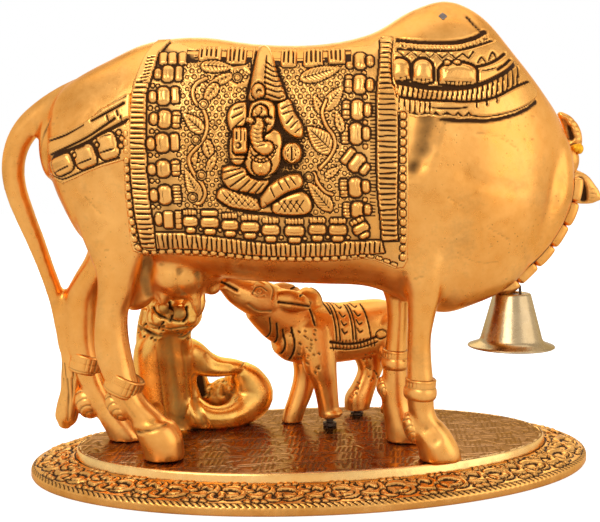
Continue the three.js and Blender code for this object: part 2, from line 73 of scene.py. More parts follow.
def smooth_rows(rows, steps):
    """Rows of numbers carried through a smooth curve, at even steps."""
    width = max(len(row) for row in rows)
    p = np.array([list(row) + [0] * (width - len(row)) for row in rows], float)
    p = np.vstack([2 * p[0] - p[1], p, 2 * p[-1] - p[-2]])
    t = np.linspace(0, len(rows) - 1, steps + 1)
    i = np.minimum(t.astype(int), len(rows) - 2)
    f = (t - i)[:, None]
    a, b, c, d = p[i], p[i + 1], p[i + 2], p[i + 3]
    return 0.5 * (2 * b + (c - a) * f + (2 * a - 5 * b + 4 * c - d) * f ** 2
                  + (3 * b - a - 3 * c + d) * f ** 3)


def loft(rows, steps=40, around=36, side=(0, 1, 0), square=2.0, egg=0.0, ends=(0, 0), facing=None,
         upright=False):
    """Rings of points over ovals: x, y, z, half width, half height, lean of the top."""
    v = smooth_rows([list(row) + [0] * (6 - len(row)) for row in rows], steps)
    centre = v[:, :3]
    index = np.arange(steps + 1)
    run = centre[np.minimum(index + 1, steps)] - centre[np.maximum(index - 1, 0)]
    if upright:
        run[:, 2] = 0
    tangent = unit(np.tile(facing, (steps + 1, 1)).astype(float) if facing else run)
    side = np.array(side, float)
    across = unit(side - tangent * (tangent @ side)[:, None])
    up = np.cross(tangent, across)
    wide = across * v[:, 3:4]
    tall = up * v[:, 4:5] + across * v[:, 5:6]
    for end, length in enumerate(ends):
        if not length:
            continue
        k, way = (0, -1) if end == 0 else (-1, 1)
        swing = np.radians([84, 70, 55, 40, 25, 12])[:, None]
        cap_c = centre[k] + way * tangent[k] * length * np.sin(swing)
        cap_w, cap_t = wide[k] * np.cos(swing), tall[k] * np.cos(swing)
        if end == 0:
            centre, wide, tall = (np.vstack(pair) for pair in
                                  ((cap_c, centre), (cap_w, wide), (cap_t, tall)))
        else:
            centre, wide, tall = (np.vstack(pair) for pair in
                                  ((centre, cap_c[::-1]), (wide, cap_w[::-1]), (tall, cap_t[::-1])))
    turn = np.linspace(0, 2 * np.pi, around, endpoint=False)
    fuller = lambda x: np.sign(x) * np.abs(x) ** (2 / square)
    upward = fuller(np.cos(turn))
    sideways = fuller(np.sin(turn)) * (1 - egg * upward)
    return (centre[:, None] + wide[:, None] * sideways[None, :, None]
            + tall[:, None] * upward[None, :, None])


def net(points, marks=None):
    """A flat grid whose corners are moved to the points, row by row, with the patina and painted shade
    marked on them.
    """
    down, across, _ = points.shape
    bm = bmesh.new()
    layer = None if marks is None else bm.verts.layers.float.new("patina_and_shade")
    bmesh.ops.create_grid(bm, x_segments=across - 1, y_segments=down - 1, size=1)
    for corner, point in zip(bm.verts, points.reshape(-1, 3)):
        corner.co = point
    if layer is not None:
        for corner, value in zip(bm.verts, np.clip(marks, 0, 1).ravel().tolist()):
            corner[layer] = value
    return bm


def open_edges(bm):
    return [edge for edge in bm.edges if edge.is_boundary]


def backed(bm, push, fanned=False):
    """Carries the rim of a sheet along the push and closes the sheet behind."""
    grown = bmesh.ops.extrude_edge_only(bm, edges=open_edges(bm))["geom"]
    bmesh.ops.translate(bm, verts=[part for part in grown if isinstance(part, bmesh.types.BMVert)],
                        vec=push)
    back = bmesh.ops.holes_fill(bm, edges=open_edges(bm), sides=0)["faces"]
    if fanned:
        bmesh.ops.poke(bm, faces=back)
    bmesh.ops.recalc_face_normals(bm, faces=bm.faces)


def tube(points, ring=False, marks=None):
    """A closed skin over rings of points, or a ring of them, its doubled corners made one."""
    nets = [points] if marks is None else [points, marks]
    nets = [np.concatenate([n, n[:, :1]], axis=1) for n in nets]
    if ring:
        nets = [np.concatenate([n, n[:1]], axis=0) for n in nets]
    bm = net(*nets)
    bmesh.ops.remove_doubles(bm, verts=bm.verts, dist=1e-4)
    bmesh.ops.holes_fill(bm, edges=open_edges(bm), sides=0)
    bmesh.ops.recalc_face_normals(bm, faces=bm.faces)
    return bm


def ball(centre, halves, turn=(0, 0, 0), around=40):
    """A ball of three half sizes, turned about its middle."""
    bm = bmesh.new()
    rx, ry, rz = (Matrix.Rotation(math.radians(a), 4, axis) for a, axis in zip(turn, "XYZ"))
    scale = Matrix.Diagonal((*halves, 1))
    bmesh.ops.create_uvsphere(bm, u_segments=around, v_segments=around // 2, radius=1,
                              matrix=Matrix.Translation(centre) @ rx @ ry @ rz @ scale)
    return bm


def to_metres(bm, place=BASE):
    """From the millimetres of an animal's frame to the metres of the scene."""
    bmesh.ops.transform(bm, matrix=Matrix.Scale(MM, 4) @ place, verts=bm.verts)


def gathered(parts, place):
    """One mesh of several, moved to its place, in metres."""
    whole = bmesh.new()
    for part in parts:
        scratch = bpy.data.meshes.new("scratch")
        part.to_mesh(scratch)
        part.free()
        whole.from_mesh(scratch)
        bpy.data.meshes.remove(scratch)
    to_metres(whole, place)
    return whole


def piece_of(name, bm):
    """A mesh as an object in the scene."""
    mesh = bpy.data.meshes.new(name)
    bm.to_mesh(mesh)
    bm.free()
    piece = bpy.data.objects.new(name, mesh)
    scene.collection.objects.link(piece)
    return piece


def show(name, bm, material, node):
    return dress(piece_of(name, bm), material, node)


def dress(piece, material, node):
    """The finish of a piece, the body it rides on and the solid it stands for."""
    piece.data.polygons.foreach_set("use_smooth", [True] * len(piece.data.polygons))
    piece.data.materials.clear()
    piece.data.materials.append(material)
    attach(piece, "root")
    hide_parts(node)
    return piece


def corners(mesh):
    co = np.empty(len(mesh.vertices) * 3, np.float32)
    mesh.vertices.foreach_get("co", co)
    return co.reshape(-1, 3).astype(float)


def outward(mesh):
    n = np.empty(len(mesh.vertices) * 3, np.float32)
    mesh.vertex_normals.foreach_get("vector", n)
    return n.reshape(-1, 3).astype(float)


def mark(mesh, values):
    """How much patina, painted shade and painted reflection lies at each corner."""
    layer = mesh.attributes.get("patina_and_shade") or mesh.attributes.new("patina_and_shade", "FLOAT", "POINT")
    layer.data.foreach_set("value", np.clip(values, 0, 1).astype(np.float32))


class Cast:
    """Overlapping closed shapes melted into one skin, then smoothed and cut into, in millimetres."""

    def __init__(self, name, parts, place, grain, rounds=8):
        piece = piece_of(name, gathered(parts, place))
        mesh = piece.data
        melt = piece.modifiers.new("melt", "REMESH")
        melt.mode = "VOXEL"
        melt.voxel_size = grain * MM
        piece.data = bpy.data.meshes.new_from_object(
            piece.evaluated_get(bpy.context.evaluated_depsgraph_get()))
        piece.modifiers.clear()
        bpy.data.meshes.remove(mesh)
        self.piece, self.mesh, self.grain = piece, piece.data, grain
        ends = np.empty(len(self.mesh.edges) * 2, np.int32)
        self.mesh.edges.foreach_get("vertices", ends)
        self.ends = ends.reshape(-1, 2)
        self.co = corners(self.mesh) / MM
        self.count = np.maximum(np.bincount(self.ends.ravel(), minlength=len(self.co)), 1)[:, None]
        self.dark = np.zeros(len(self.co))
        self.place = np.array(place)
        for _ in range(rounds):
            self.co += PRESS * self.pull(self.co)
            self.co -= LET_GO * self.pull(self.co)
        self.settle()

    def pull(self, values):
        """From each corner to the middle of its neighbours."""
        a, b = self.ends.T
        total = np.stack([np.bincount(a, column[b], len(self.co)) + np.bincount(b, column[a], len(self.co))
                          for column in values.T], axis=1)
        return total / self.count - values

    def spread(self, values, rounds):
        values = values[:, None]
        for _ in range(rounds):
            values = values + CALM * self.pull(values)
        return values[:, 0]

    def settle(self):
        self.mesh.vertices.foreach_set("co", (self.co * MM).astype(np.float32).ravel())
        self.mesh.update()
        self.normal = outward(self.mesh)

    def hollow(self, rounds=6):
        """How far the skin curves inwards, in millimetres over the spread of the rounds."""
        co = self.co
        for _ in range(rounds):
            co = co + CALM * self.pull(co)
        return np.einsum("ij,ij->i", co - self.co, self.normal)

    def blend(self, rounds=30, sharp=0.12):
        """Softens the inward joints between the shapes."""
        weight = np.clip(self.spread(self.hollow(4), 4) / sharp, 0, 1)
        weight = np.clip(self.spread(weight, 8) * 1.6, 0, 1)[:, None]
        for _ in range(rounds):
            self.co += CALM * weight * self.pull(self.co)
        self.settle()

    def own(self):
        """The corners in the animal's own frame."""
        return (self.co - self.place[:3, 3]) @ self.place[:3, :3]

    def cut(self, points, width, depth, dark=1.0, rows=0):
        """A groove, or with negative depth a ridge, along a line given in the own frame."""
        line = smooth_rows(points, rows) if rows else np.array(points, float)
        here = self.own()
        near = np.flatnonzero(np.all((here > line.min(0) - width) & (here < line.max(0) + width), axis=1))
        if not len(near):
            return
        gap = np.full(len(near), 1e9)
        for a, b in zip(line[:-1], line[1:]):
            ab = b - a
            t = np.clip((here[near] - a) @ ab / max(ab @ ab, 1e-9), 0, 1)[:, None]
            gap = np.minimum(gap, np.linalg.norm(here[near] - a - t * ab, axis=1))
        shape = np.clip(1 - (gap / width) ** 2, 0, 1) ** 1.5
        self.co[near] -= self.normal[near] * (depth * shape)[:, None]
        self.dark[near] = np.maximum(self.dark[near], dark * shape ** 0.7)

    def finish(self, material, node, hollow_mark=2.1):
        """Patina in the cuts and in the skin's own hollows, with the painted shade and painted reflection
        that some flat dark marks carry, then the finish.
        """
        self.settle()
        mark(self.mesh, self.dark + np.clip(self.hollow(8) * hollow_mark - 0.05, 0, 0.46))
        return dress(self.piece, material, node)


# ---- Materials ----

def nodes_of(tree):
    """Makes nodes in a tree: settings go by their names, inputs by in_ and a name or number."""
    return lambda kind, **values: set_up(tree.nodes.new(kind), values)


def set_up(node, values):
    for key, value in values.items():
        if key.startswith("in_"):
            name = key[3:]
            node.inputs[int(name) if name.isdigit() else name.replace("_", " ")].default_value = value
        else:
            setattr(node, key, value)
    return node


def aged_metal_group():
    """Patina with painted shade, mottling and pits of old cast metal: colour, roughness and normal."""
    tree = bpy.data.node_groups.new("aged metal", "ShaderNodeTree")
    for name, kind, value in (("Bright", "NodeSocketColor", (1, 1, 1, 1)),
                              ("Deep", "NodeSocketColor", (1, 1, 1, 1)),
                              ("Patina", "NodeSocketColor", (0, 0, 0, 1)),
                              ("Polish", "NodeSocketFloat", 0.3), ("Pits", "NodeSocketFloat", 0.5),
                              ("Relief", "NodeSocketFloat", 0.5)):
        socket = tree.interface.new_socket(name, in_out="INPUT", socket_type=kind)
        socket.default_value = value
    for name, kind in (("Color", "NodeSocketColor"), ("Roughness", "NodeSocketFloat"),
                       ("Normal", "NodeSocketVector"), ("Clean", "NodeSocketFloat")):
        tree.interface.new_socket(name, in_out="OUTPUT", socket_type=kind)
    new, link = nodes_of(tree), tree.links.new
    inlet, outlet = new("NodeGroupInput"), new("NodeGroupOutput")
    place = new("ShaderNodeTexCoord").outputs["Object"]

    def noise(scale, detail, rough=0.55):
        node = new("ShaderNodeTexNoise", in_Scale=scale, in_Detail=detail, in_Roughness=rough)
        link(place, node.inputs["Vector"])
        return node.outputs["Fac"]

    def fit(value, low, high, to_low=0.0, to_high=1.0):
        node = new("ShaderNodeMapRange", in_1=low, in_2=high, in_3=to_low, in_4=to_high)
        link(value, node.inputs[0])
        return node.outputs[0]

    def maths(kind, a, b):
        node = new("ShaderNodeMath", operation=kind)
        for socket, value in zip(node.inputs, (a, b)):
            if isinstance(value, (int, float)):
                socket.default_value = value
            else:
                link(value, socket)
        return node.outputs[0]

    def blend(share, a, b):
        node = new("ShaderNodeMix", data_type="RGBA")
        link(share, node.inputs["Factor"])
        for socket, value in ((node.inputs[6], a), (node.inputs[7], b)):
            if isinstance(value, tuple):
                socket.default_value = value
            else:
                link(value, socket)
        return node.outputs[2]

    broad = noise(26, 3)
    mottle = noise(190, 4, 0.62)
    grain = noise(900, 3)
    patina_and_shade = new("ShaderNodeAttribute", attribute_name="patina_and_shade").outputs["Fac"]
    cells = new("ShaderNodeTexVoronoi", in_Scale=520.0)
    link(place, cells.inputs["Vector"])
    patchy = fit(noise(75, 4, 0.7), 0.5, 0.64)
    pit = maths("MULTIPLY", fit(cells.outputs["Distance"], 0.2, 0.07), patchy)
    pit = maths("MULTIPLY", pit, inlet.outputs["Pits"])
    rough_edge = maths("MULTIPLY_ADD", mottle, 0.35)
    rough_edge.node.inputs[2].default_value = -0.16
    # The share of patina and of painted shade and reflection, with ragged edges
    stain_and_shade = fit(maths("ADD", fit(patina_and_shade, 0.0, 1.0), rough_edge), 0.12, 0.7)
    clouds = maths("MULTIPLY", fit(noise(48, 6, 0.72), 0.53, 0.74), 0.3)
    stain_and_shade = maths("MAXIMUM", stain_and_shade, clouds)
    tone = fit(maths("ADD", maths("MULTIPLY", broad, 0.6), maths("MULTIPLY", mottle, 0.4)), 0.36, 0.64)
    colour = blend(tone, inlet.outputs["Deep"], inlet.outputs["Bright"])
    colour = blend(stain_and_shade, colour, inlet.outputs["Patina"])
    colour = blend(pit, colour, (0.045, 0.018, 0.006, 1))
    link(colour, outlet.inputs["Color"])
    rough = maths("ADD", inlet.outputs["Polish"], maths("MULTIPLY", fit(mottle, 0.35, 0.7), 0.12))
    rough = maths("ADD", rough, maths("MULTIPLY", stain_and_shade, 0.3))
    link(rough, outlet.inputs["Roughness"])
    height = maths("SUBTRACT", maths("MULTIPLY", grain, 0.25), maths("MULTIPLY", pit, 1.2))
    height = maths("ADD", height, maths("MULTIPLY", mottle, 0.5))
    bump = new("ShaderNodeBump", in_Distance=0.0003)
    link(height, bump.inputs["Height"])
    link(inlet.outputs["Relief"], bump.inputs["Strength"])
    link(bump.outputs[0], outlet.inputs["Normal"])
    link(maths("SUBTRACT", 1.0, maths("MULTIPLY", stain_and_shade, 0.75)), outlet.inputs["Clean"])
    return tree


AGED = aged_metal_group()


def metal(name, bright, deep, patina, polish, pits=0.5, relief=0.35, edge=(1, 0.8, 0.55), crusted=True):
    """An aged metal; a crusted one is less of a metal where the patina and the painted shade lie."""
    material = bpy.data.materials.new(name)
    material.use_nodes = True
    tree = material.node_tree
    shader = tree.nodes["Principled BSDF"]
    shader.inputs["Specular Tint"].default_value = (*edge, 1)
    shader.inputs["Specular IOR Level"].default_value = 0.15
    group = tree.nodes.new("ShaderNodeGroup")
    group.node_tree = AGED
    for socket, value in (("Bright", bright), ("Deep", deep), ("Patina", patina)):
        group.inputs[socket].default_value = (*value, 1)
    for socket, value in (("Polish", polish), ("Pits", pits), ("Relief", relief)):
        group.inputs[socket].default_value = value
    shader.inputs["Metallic"].default_value = 1.0
    pairs = [("Color", "Base Color"), ("Roughness", "Roughness"), ("Normal", "Normal")]
    for outlet, inlet in pairs + ([("Clean", "Metallic")] if crusted else []):
        tree.links.new(group.outputs[outlet], shader.inputs[inlet])
    return material


# The colour of the patina in hollows, also given to the painted shade and painted reflection that share its
# mask
PATINA_SHADE_TONE = (0.045, 0.016, 0.004)
GOLD = metal("warm gold", (0.96, 0.465, 0.12), (0.83, 0.335, 0.06), PATINA_SHADE_TONE, 0.26)
RELIEF_GOLD = metal("relief gold", (0.97, 0.49, 0.135), (0.84, 0.37, 0.078), PATINA_SHADE_TONE, 0.2, pits=0.2)
BASE_GOLD = metal("base gold", (0.93, 0.47, 0.13), (0.68, 0.29, 0.055), PATINA_SHADE_TONE, 0.18, pits=0.25)
# A paler gold for the step: a painted highlight of its lit face
STEP_HIGHLIT_GOLD = metal("step gold with painted highlight", (1.0, 0.64, 0.24), (0.88, 0.44, 0.12), PATINA_SHADE_TONE, 0.17, pits=0.3)
PLATE_GOLD = metal("plate gold", (0.56, 0.33, 0.19), (0.42, 0.24, 0.13), (0.1, 0.05, 0.025), 0.14, 0.3,
                   0.15, (0.5, 0.35, 0.24), False)
YELLOW = metal("yellow paint", (0.95, 0.50, 0.03), (0.85, 0.38, 0.02), PATINA_SHADE_TONE, 0.4, pits=0.1)
CHAMPAGNE = metal("champagne brass", (0.58, 0.42, 0.23), (0.43, 0.29, 0.14), (0.16, 0.08, 0.03), 0.2,
                  pits=0.1, edge=(0.8, 0.66, 0.45))
BARE = metal("bare mark", (0.34, 0.29, 0.26), (0.2, 0.16, 0.14), PATINA_SHADE_TONE, 0.45)
# A lighter gold for the child: painted light against the shade he sits in under the cow
CHILD_LIGHTENED_GOLD = metal("gold lightened against shade", (1.0, 0.58, 0.15), (0.92, 0.45, 0.085), PATINA_SHADE_TONE, 0.24)
STEEL = metal("dark steel", (0.16, 0.12, 0.09), (0.07, 0.05, 0.04), (0.02, 0.014, 0.01), 0.42)


# ---- Shapes of the bodies: rows of x, y, z, half width, half height and lean of the top ----

def etch(cast, tree, line, way=-1, width=0.7, depth=0.4, dark=0.8, rows=16, ahead=False):
    """A cut on the side seen from way, along a line given as across and up; ahead looks along x."""
    points = []
    for across, up in smooth_rows(line, rows):
        if ahead:
            start, run = (100 + way * FAR, across, up), (-way, 0, 0)
        else:
            start, run = (across, way * FAR, up), (0, -way, 0)
        hit = tree.ray_cast(Vector(start), Vector(run))[0]
        if hit is not None:
            points.append(tuple(hit))
    if len(points) > 1:
        cast.cut(points, width, depth, dark)


def cloth_place(x, y):
    """Along and up on the cow for a spot of the cloth's drawing."""
    return (x - 159) * CLOTH_UNIT, 162.67 - 0.3507 * y


def rump_place(x, y):
    return (x - 239.9) * 0.357, 146.1 - 0.3535 * y


def hump_place(x, y):
    swell = np.clip((x - 95) / 50, 0, 1.2) ** 2
    return ((x + 100.3) * 0.3553 + 2.2 * swell,
            174.1 - 0.3525 * y + np.clip((60 - y) / 50, 0, 1.2) ** 1.5 + swell)


# Cuts above and below the hump's straps, in the hump's drawing
TOP_GROOVE = [(17, 31), (30, 33.4), (45, 34.5), (62, 34.6), (78, 33.8), (92, 30.5), (101, 26.5), (108, 22)]
FOOT_GROOVE = [(14, 107.6), (36, 109.6), (58, 110), (80, 111), (105, 111), (120, 109), (135, 105),
               (147, 99.6), (155, 93.6)]
# x, y, top, low, half width, lean
TRUNK = [
    (-86.5, 0, 141, 113.5, 9, 0), (-82, 0, 147.5, 103.5, 16, 0), (-75, 0, 152.6, 91.5, 20.5, 0),
    (-64, 0, 158.3, 85, 24, 0), (-49, 0, 164.8, 81.2, 26.5, 0), (-30, 0, 166.7, 77.7, 27.5, 0),
    (-8, 0, 164.1, 75.4, 27.5, 0), (14, 0, 164, 74.6, 27.5, 0), (33, 0, 167.8, 73.5, 27, 0),
    (48, 0, 176.2, 67.5, 25.5, 0), (61, 0.5, 179.8, 63.5, 23, 0), (72.5, 2, 175, 66.5, 21.5, 0),
    (82.5, 6, 163.4, 71, 19.5, 0), (90.5, 12.5, 151.4, 77, 17.5, -2), (96.3, 21, 142.5, 83.5, 15.5, -3),
    (99, 31, 134, 91, 12, -2),
]
LEGS = {
    "near_front": [
        (50, -9, 122, 9, 16), (51, -11, 100, 9.5, 14.5), (51.5, -12.5, 86, 9, 11.5),
        (52.3, -L, 77.5, 7.8, 7.6), (52.6, -L, 71, 6.8, 6), (52, -L, 64.5, 6, 5), (51.3, -L, 56, 5.5, 4.2),
        (51.3, -L, 47, 5.5, 4.5), (51.8, -L, 37, 6, 5), (52.2, -L, 29.5, 5.4, 4.8), (54, -L, 24, 5.8, 5.4),
        (56.4, -L, 18.6, 6.8, 6.7), (58.8, -L, 13.6, 7.4, 7.6), (59.4, -L, FLOOR, 7.4, 7.8)],
    "far_front": [
        (46, 9, 122, 9, 16), (46, 11, 100, 9.5, 14), (45.8, 12.5, 84, 9, 10.4), (45.2, L, 72.4, 7.4, 6.6),
        (45.3, L, 66, 6.2, 4.6), (45.4, L, 58.5, 5.6, 4), (45, L, 50.5, 5.4, 4.1), (44.4, L, 43, 5.6, 4.4),
        (44.4, L, 35, 5.4, 5), (44.8, L, 27, 5.4, 5.6), (46.2, L, 20.5, 6, 6.2), (47.8, L, 14.5, 6.8, 7),
        (48.6, L, FLOOR, 7, 7.6)],
    "near_hind": [
        (-62, -9, 128, 10, 19), (-61, -11, 112, 11, 18.5), (-60, -12, 98, 10.5, 15),
        (-60, -12.5, 88, 9.8, 11), (-60, -13, 79.5, 8.6, 7.8), (-60.8, -L, 72, 7.4, 6.7),
        (-62.4, -L, 65, 6.8, 5.9), (-62.8, -L, 57, 6.5, 6.2), (-62, -L, 49, 6.3, 6.6),
        (-59.6, -L, 40.5, 6, 6), (-56.2, -L, 33, 5.8, 5.5), (-51, -L, 26.6, 6.2, 6.5),
        (-46.6, -L, 20.6, 6.8, 7.4), (-44.6, -L, 14.5, 7.2, 7.3), (-43.8, -L, FLOOR, 7.6, 7.4)],
    "far_hind": [
        (-62, 10, 128, 10, 18), (-62, 12, 112, 11, 17), (-64, 12.5, 98, 10.5, 12),
        (-68.4, 13, 86, 9.8, 8.4), (-74.5, 13.5, 76, 8.6, 8), (-79.4, 14.4, 68, 7.6, 7.4),
        (-80.6, 14.5, 59, 6.8, 6.9), (-80.5, 14.5, 50, 6.4, 6.4), (-78.6, 14.5, 41, 6, 5.9),
        (-76.4, 14.5, 33.5, 5.8, 5.8), (-71.8, 14.5, 25.6, 6.2, 5.9), (-67.6, 14.5, 19, 7, 6.8),
        (-64, 14.5, 13.6, 7.6, 7.3), (-62.6, 14.5, FLOOR, 7.6, 7.4)],
}
HOOVES = {
    "near_hind": [(-49, -L, 25.4, 5.8, 5.6), (-47.8, -L, 23.6, 7.2, 8.0), (-45.4, -L, 19, 7.8, 8.4),
                  (-44, -L, 14, 7.8, 7.8), (-43.4, -L, FLOOR, 7.6, 7.4)],
    "near_front": [(54.6, -L, 24.4, 5.6, 5.4), (56, -L, 21, 7, 6.9), (58, -L, 17, 7.6, 7.3),
                   (59.2, -L, 13.2, 7.8, 7.7), (59.6, -L, FLOOR, 7.6, 7.7)],
}
TAIL = [
    (-72, 0, 146.5, 7, 7), (-81, 0, 143, 5.8, 6.4), (-89, 0.5, 139, 5, 5.6), (-96.2, 1.5, 133.8, 4.6, 4.9),
    (-100.8, 2.2, 127, 4.4, 4.5), (-102.9, 3, 118.5, 4.2, 4.3), (-102.3, 4, 110, 4, 4.1),
    (-99.6, 6, 100, 3.8, 3.8), (-96.4, 8.5, 90, 3.6, 3.4), (-93, 11.5, 78, 3.6, 3.0),
    (-89.6, 13.5, 66, 3.7, 3.2), (-87.4, 14.6, 54, 3.9, 3.4), (-86.4, 15, 47, 3.8, 3.4),
    (-85.4, 15, 42, 3, 2.4),
]
HEAD = [
    (100.5, 22, 125, 9.5, 9), (101, 29, 123.5, 11.5, 11), (101.6, 36, 119.5, 12, 12.5),
    (102.2, 44, 114, 10.6, 12), (102.8, 51, 108.5, 8.6, 10.3), (103.3, 58, 103.5, 7.6, 8.6),
    (103.6, 63.5, 100, 7.4, 7.4),
]
HORN = [
    (9, 27, 124, 3.6, 3.6), (13.4, 27, 125.6, 3.9, 3.8), (14.6, 26.6, 129.5, 3.9, 3.6),
    (13.8, 26, 133.6, 3.4, 3.2), (11.4, 25.4, 137.4, 2.6, 2.4), (8.6, 25, 140, 1.2, 1.1),
]
EAR = [
    (9, 30, 115, 1.8, 3.8), (13, 29.8, 113, 2, 5.8), (17, 29.4, 110.8, 2.1, 6.5),
    (20, 29.2, 109.2, 2.1, 5.8), (22.4, 29, 108, 1.9, 4.5), (24.8, 28.8, 107, 1.6, 3),
    (26.2, 28.7, 106.4, 1, 1.4),
]
HEAD_MIDDLE = 101.5
TEATS = [
    [(-44.5, -5, 75, 4, 4), (-44.6, -5.4, 71, 3.4, 3.2), (-44.6, -5.5, 68.5, 2.2, 2)],
    [(-34.5, -3, 77, 5.4, 3.4), (-33.2, -3, 71, 4.4, 2.6), (-32.2, -3, 66, 2.8, 1.8),
     (-31.8, -3, 63.5, 1.4, 1)],
    [(-42, 9, 76, 4.4, 4.4), (-42.6, 10, 71.5, 3, 3), (-42.8, 10.4, 69, 2.2, 2.2)],
    [(-29, 1.5, 78, 6, 5), (-27.4, 1.8, 74.5, 4, 4), (-26.8, 2, 71.4, 3, 3)],
]
# Where the dewclaws sit, their half sizes and their tilt
PETALS = {
    "near_front": [(48.6, -L, 22), (2.8, 4.4, 5.8), -16], "far_front": [(40.4, L, 31), (3, 4.4, 4.6), -16],
    "near_hind": [(-61, -L, 30), (3.6, 4.6, 6), -30], "far_hind": [(-78.4, 14, 25), (5.2, 5, 6.6), -24],
}
# The row of the leg that an anklet goes round, and its tilt
ANKLETS = {"near_front": (LEGS["near_front"][8], 3), "far_front": (LEGS["far_front"][7], 3),
           "near_hind": ((-58.3, -L, 38, 5.9, 5.8), 24), "far_hind": (LEGS["far_hind"][8], 14)}
GARLAND = [
    (114.6, 14, 114.8), (114.3, 13.6, 110.2), (112.1, 12.8, 101.2), (107.8, 11.8, 93.4),
    (102.2, 10.6, 85.4), (94.6, 9.4, 78), (88, 8.6, 72), (83.6, 11.5, 70.6), (80.5, 17, 76), (79, 23, 85),
    (79.5, 28, 94), (82, 32, 103), (85.4, 34.5, 110),
]
NECK_MIDDLE = np.array((86, 22, 112))


def make_cow():
    parts = [
        tube(loft([(x, y, (top + low) / 2, half, (top - low) / 2, lean)
                   for x, y, top, low, half, lean in TRUNK],
                  90, 72, square=2.25, ends=(5, 5), upright=True)),
        ball((66, -0.5, 100.2), (19, 19, 31.2)),
        tube(loft([(101.2, 18, 131, 11, 8.6), (103.6, 16, 122.5, 13, 9.2), (104, 14, 112, 14, 9.2),
                   (101.8, 12.6, 103.4, 14, 9.2), (96.4, 11.4, 93.8, 13.5, 9.2),
                   (89.6, 10.5, 86.2, 13, 8.6), (83, 10, 81.4, 12, 7)], 40, 40, side=(0, 1, 0),
                  ends=(5, 5))),
        ball((-40, 1, 79), (15, 14, 11)), ball((95, 11, 110), (11, 15, 24)),
        ball((-54, -3, 76), (8.5, 7, 12), (0, 20, 0)),
        tube(loft(TAIL, 70, 24)),
    ]
    parts += [tube(loft(rows, 60, 32, square=2.2, facing=(0, 0, -1))) for rows in LEGS.values()]
    parts += [tube(loft(rows, 24, 32, square=2.2, facing=(0, 0, -1), ends=(0.6, 0)))
              for rows in HOOVES.values()]
    parts += [tube(loft(rows, 12, 24, ends=(0, 1.6))) for rows in TEATS]
    parts += [ball(middle, halves, (0, tilt, 0), 24) for middle, halves, tilt in PETALS.values()]
    cow = Cast("cow_body", parts, COW, 0.95)
    cow.blend(30)
    tree = tree_of(cow)
    for line, width, depth, dark in (
            ([(-84, 137), (-87.5, 131), (-89.5, 125)], 0.9, 0.2, 0.3),
            ([(66, 116), (75, 112.5), (88, 110.5)], 4, 0.14, 0.0),
            # The dent from (52, 140) to (47, 121) is real; the three flat dark marks after it are a painted
            # dark reflection in that dent
            ([(52, 140), (50, 131), (47, 121)], 8, 2.2, 0.0), ([(53.8, 136), (53.2, 130)], 6.4, 0.0, 0.46),
            ([(52.8, 131), (50.6, 124.5)], 4.8, 0.0, 0.5), ([(50.8, 125), (47.6, 118)], 3.2, 0.0, 0.5),
            ([(53.8, 22.6), (56.6, 19.4)], 3.2, 0.9, 0.0),
            ([(-52.6, 21.4), (-46.4, 22.8), (-39.6, 25.2)], 1.2, 0.6, 0.25),
            ([(-57.4, 33), (-53.4, 27)], 1.0, 0.2, 0.25),
            ([hump_place(x, y - 0.8) for x, y in TOP_GROOVE], 1.3, 0.8, 1.0),
            ([hump_place(*spot) for spot in ((90, 7), (97, 15), (106, 23))], 0.9, 0.5, 0.6),
            ([hump_place(*spot) for spot in FOOT_GROOVE], 1.25, 0.4, 0.7),
            ([(-48.6, 86), (-50.4, 78), (-50, 71)], 3, 0.7, 0.0),
            ([(-36.6, 71), (-38.2, 75), (-37.6, 80)], 2.2, 0.7, 0.0),
            ([(-30.4, 74), (-31, 79)], 1.8, 0.6, 0.0)):
        etch(cow, tree, line, -1, width, depth, dark)
    for line in (((60, 108), (66, 104)), ((70, 131), (79, 129), (86, 125)), ((75, 97), (84, 92)),
                 ((-70, 108), (-64, 102)), ((-78, 150), (-70, 153)), ((30, 90), (38, 88)),
                 ((64, 88), (72, 84), (80, 84))):
        etch(cow, tree, list(line), -1, 0.9, 0.12, 0.16)
    for _ in range(110):
        x, z = rng.uniform(-86, 98), rng.uniform(70, 172)
        long, lean = rng.uniform(0.3, 1.6), rng.uniform(-0.8, 0.8)
        etch(cow, tree, [(x, z), (x + long, z + lean * long)], -1, 0.8, 0.08, rng.uniform(0.1, 0.3), 3)
    # Two flat dark bands along the garland's path: painted shade on the neck under the garland
    cow.cut(GARLAND, 4.3, 0.0, 1.0, 160)
    cow.cut([(x - 1.6, y - 4.4, z + 0.7) for x, y, z in GARLAND[:7]], 3.0, 0.0, 0.9, 90)
    for rows in LEGS.values():
        x, y, z, _, along = rows[-2]
        cow.cut([(x + along + 0.6, y, FLOOR + 0.5), (x + along * 0.9, y, z + 1),
                 (x + along * 0.5, y, z + 5)], 1.0, 0.9, 0.8, 14)
    return cow


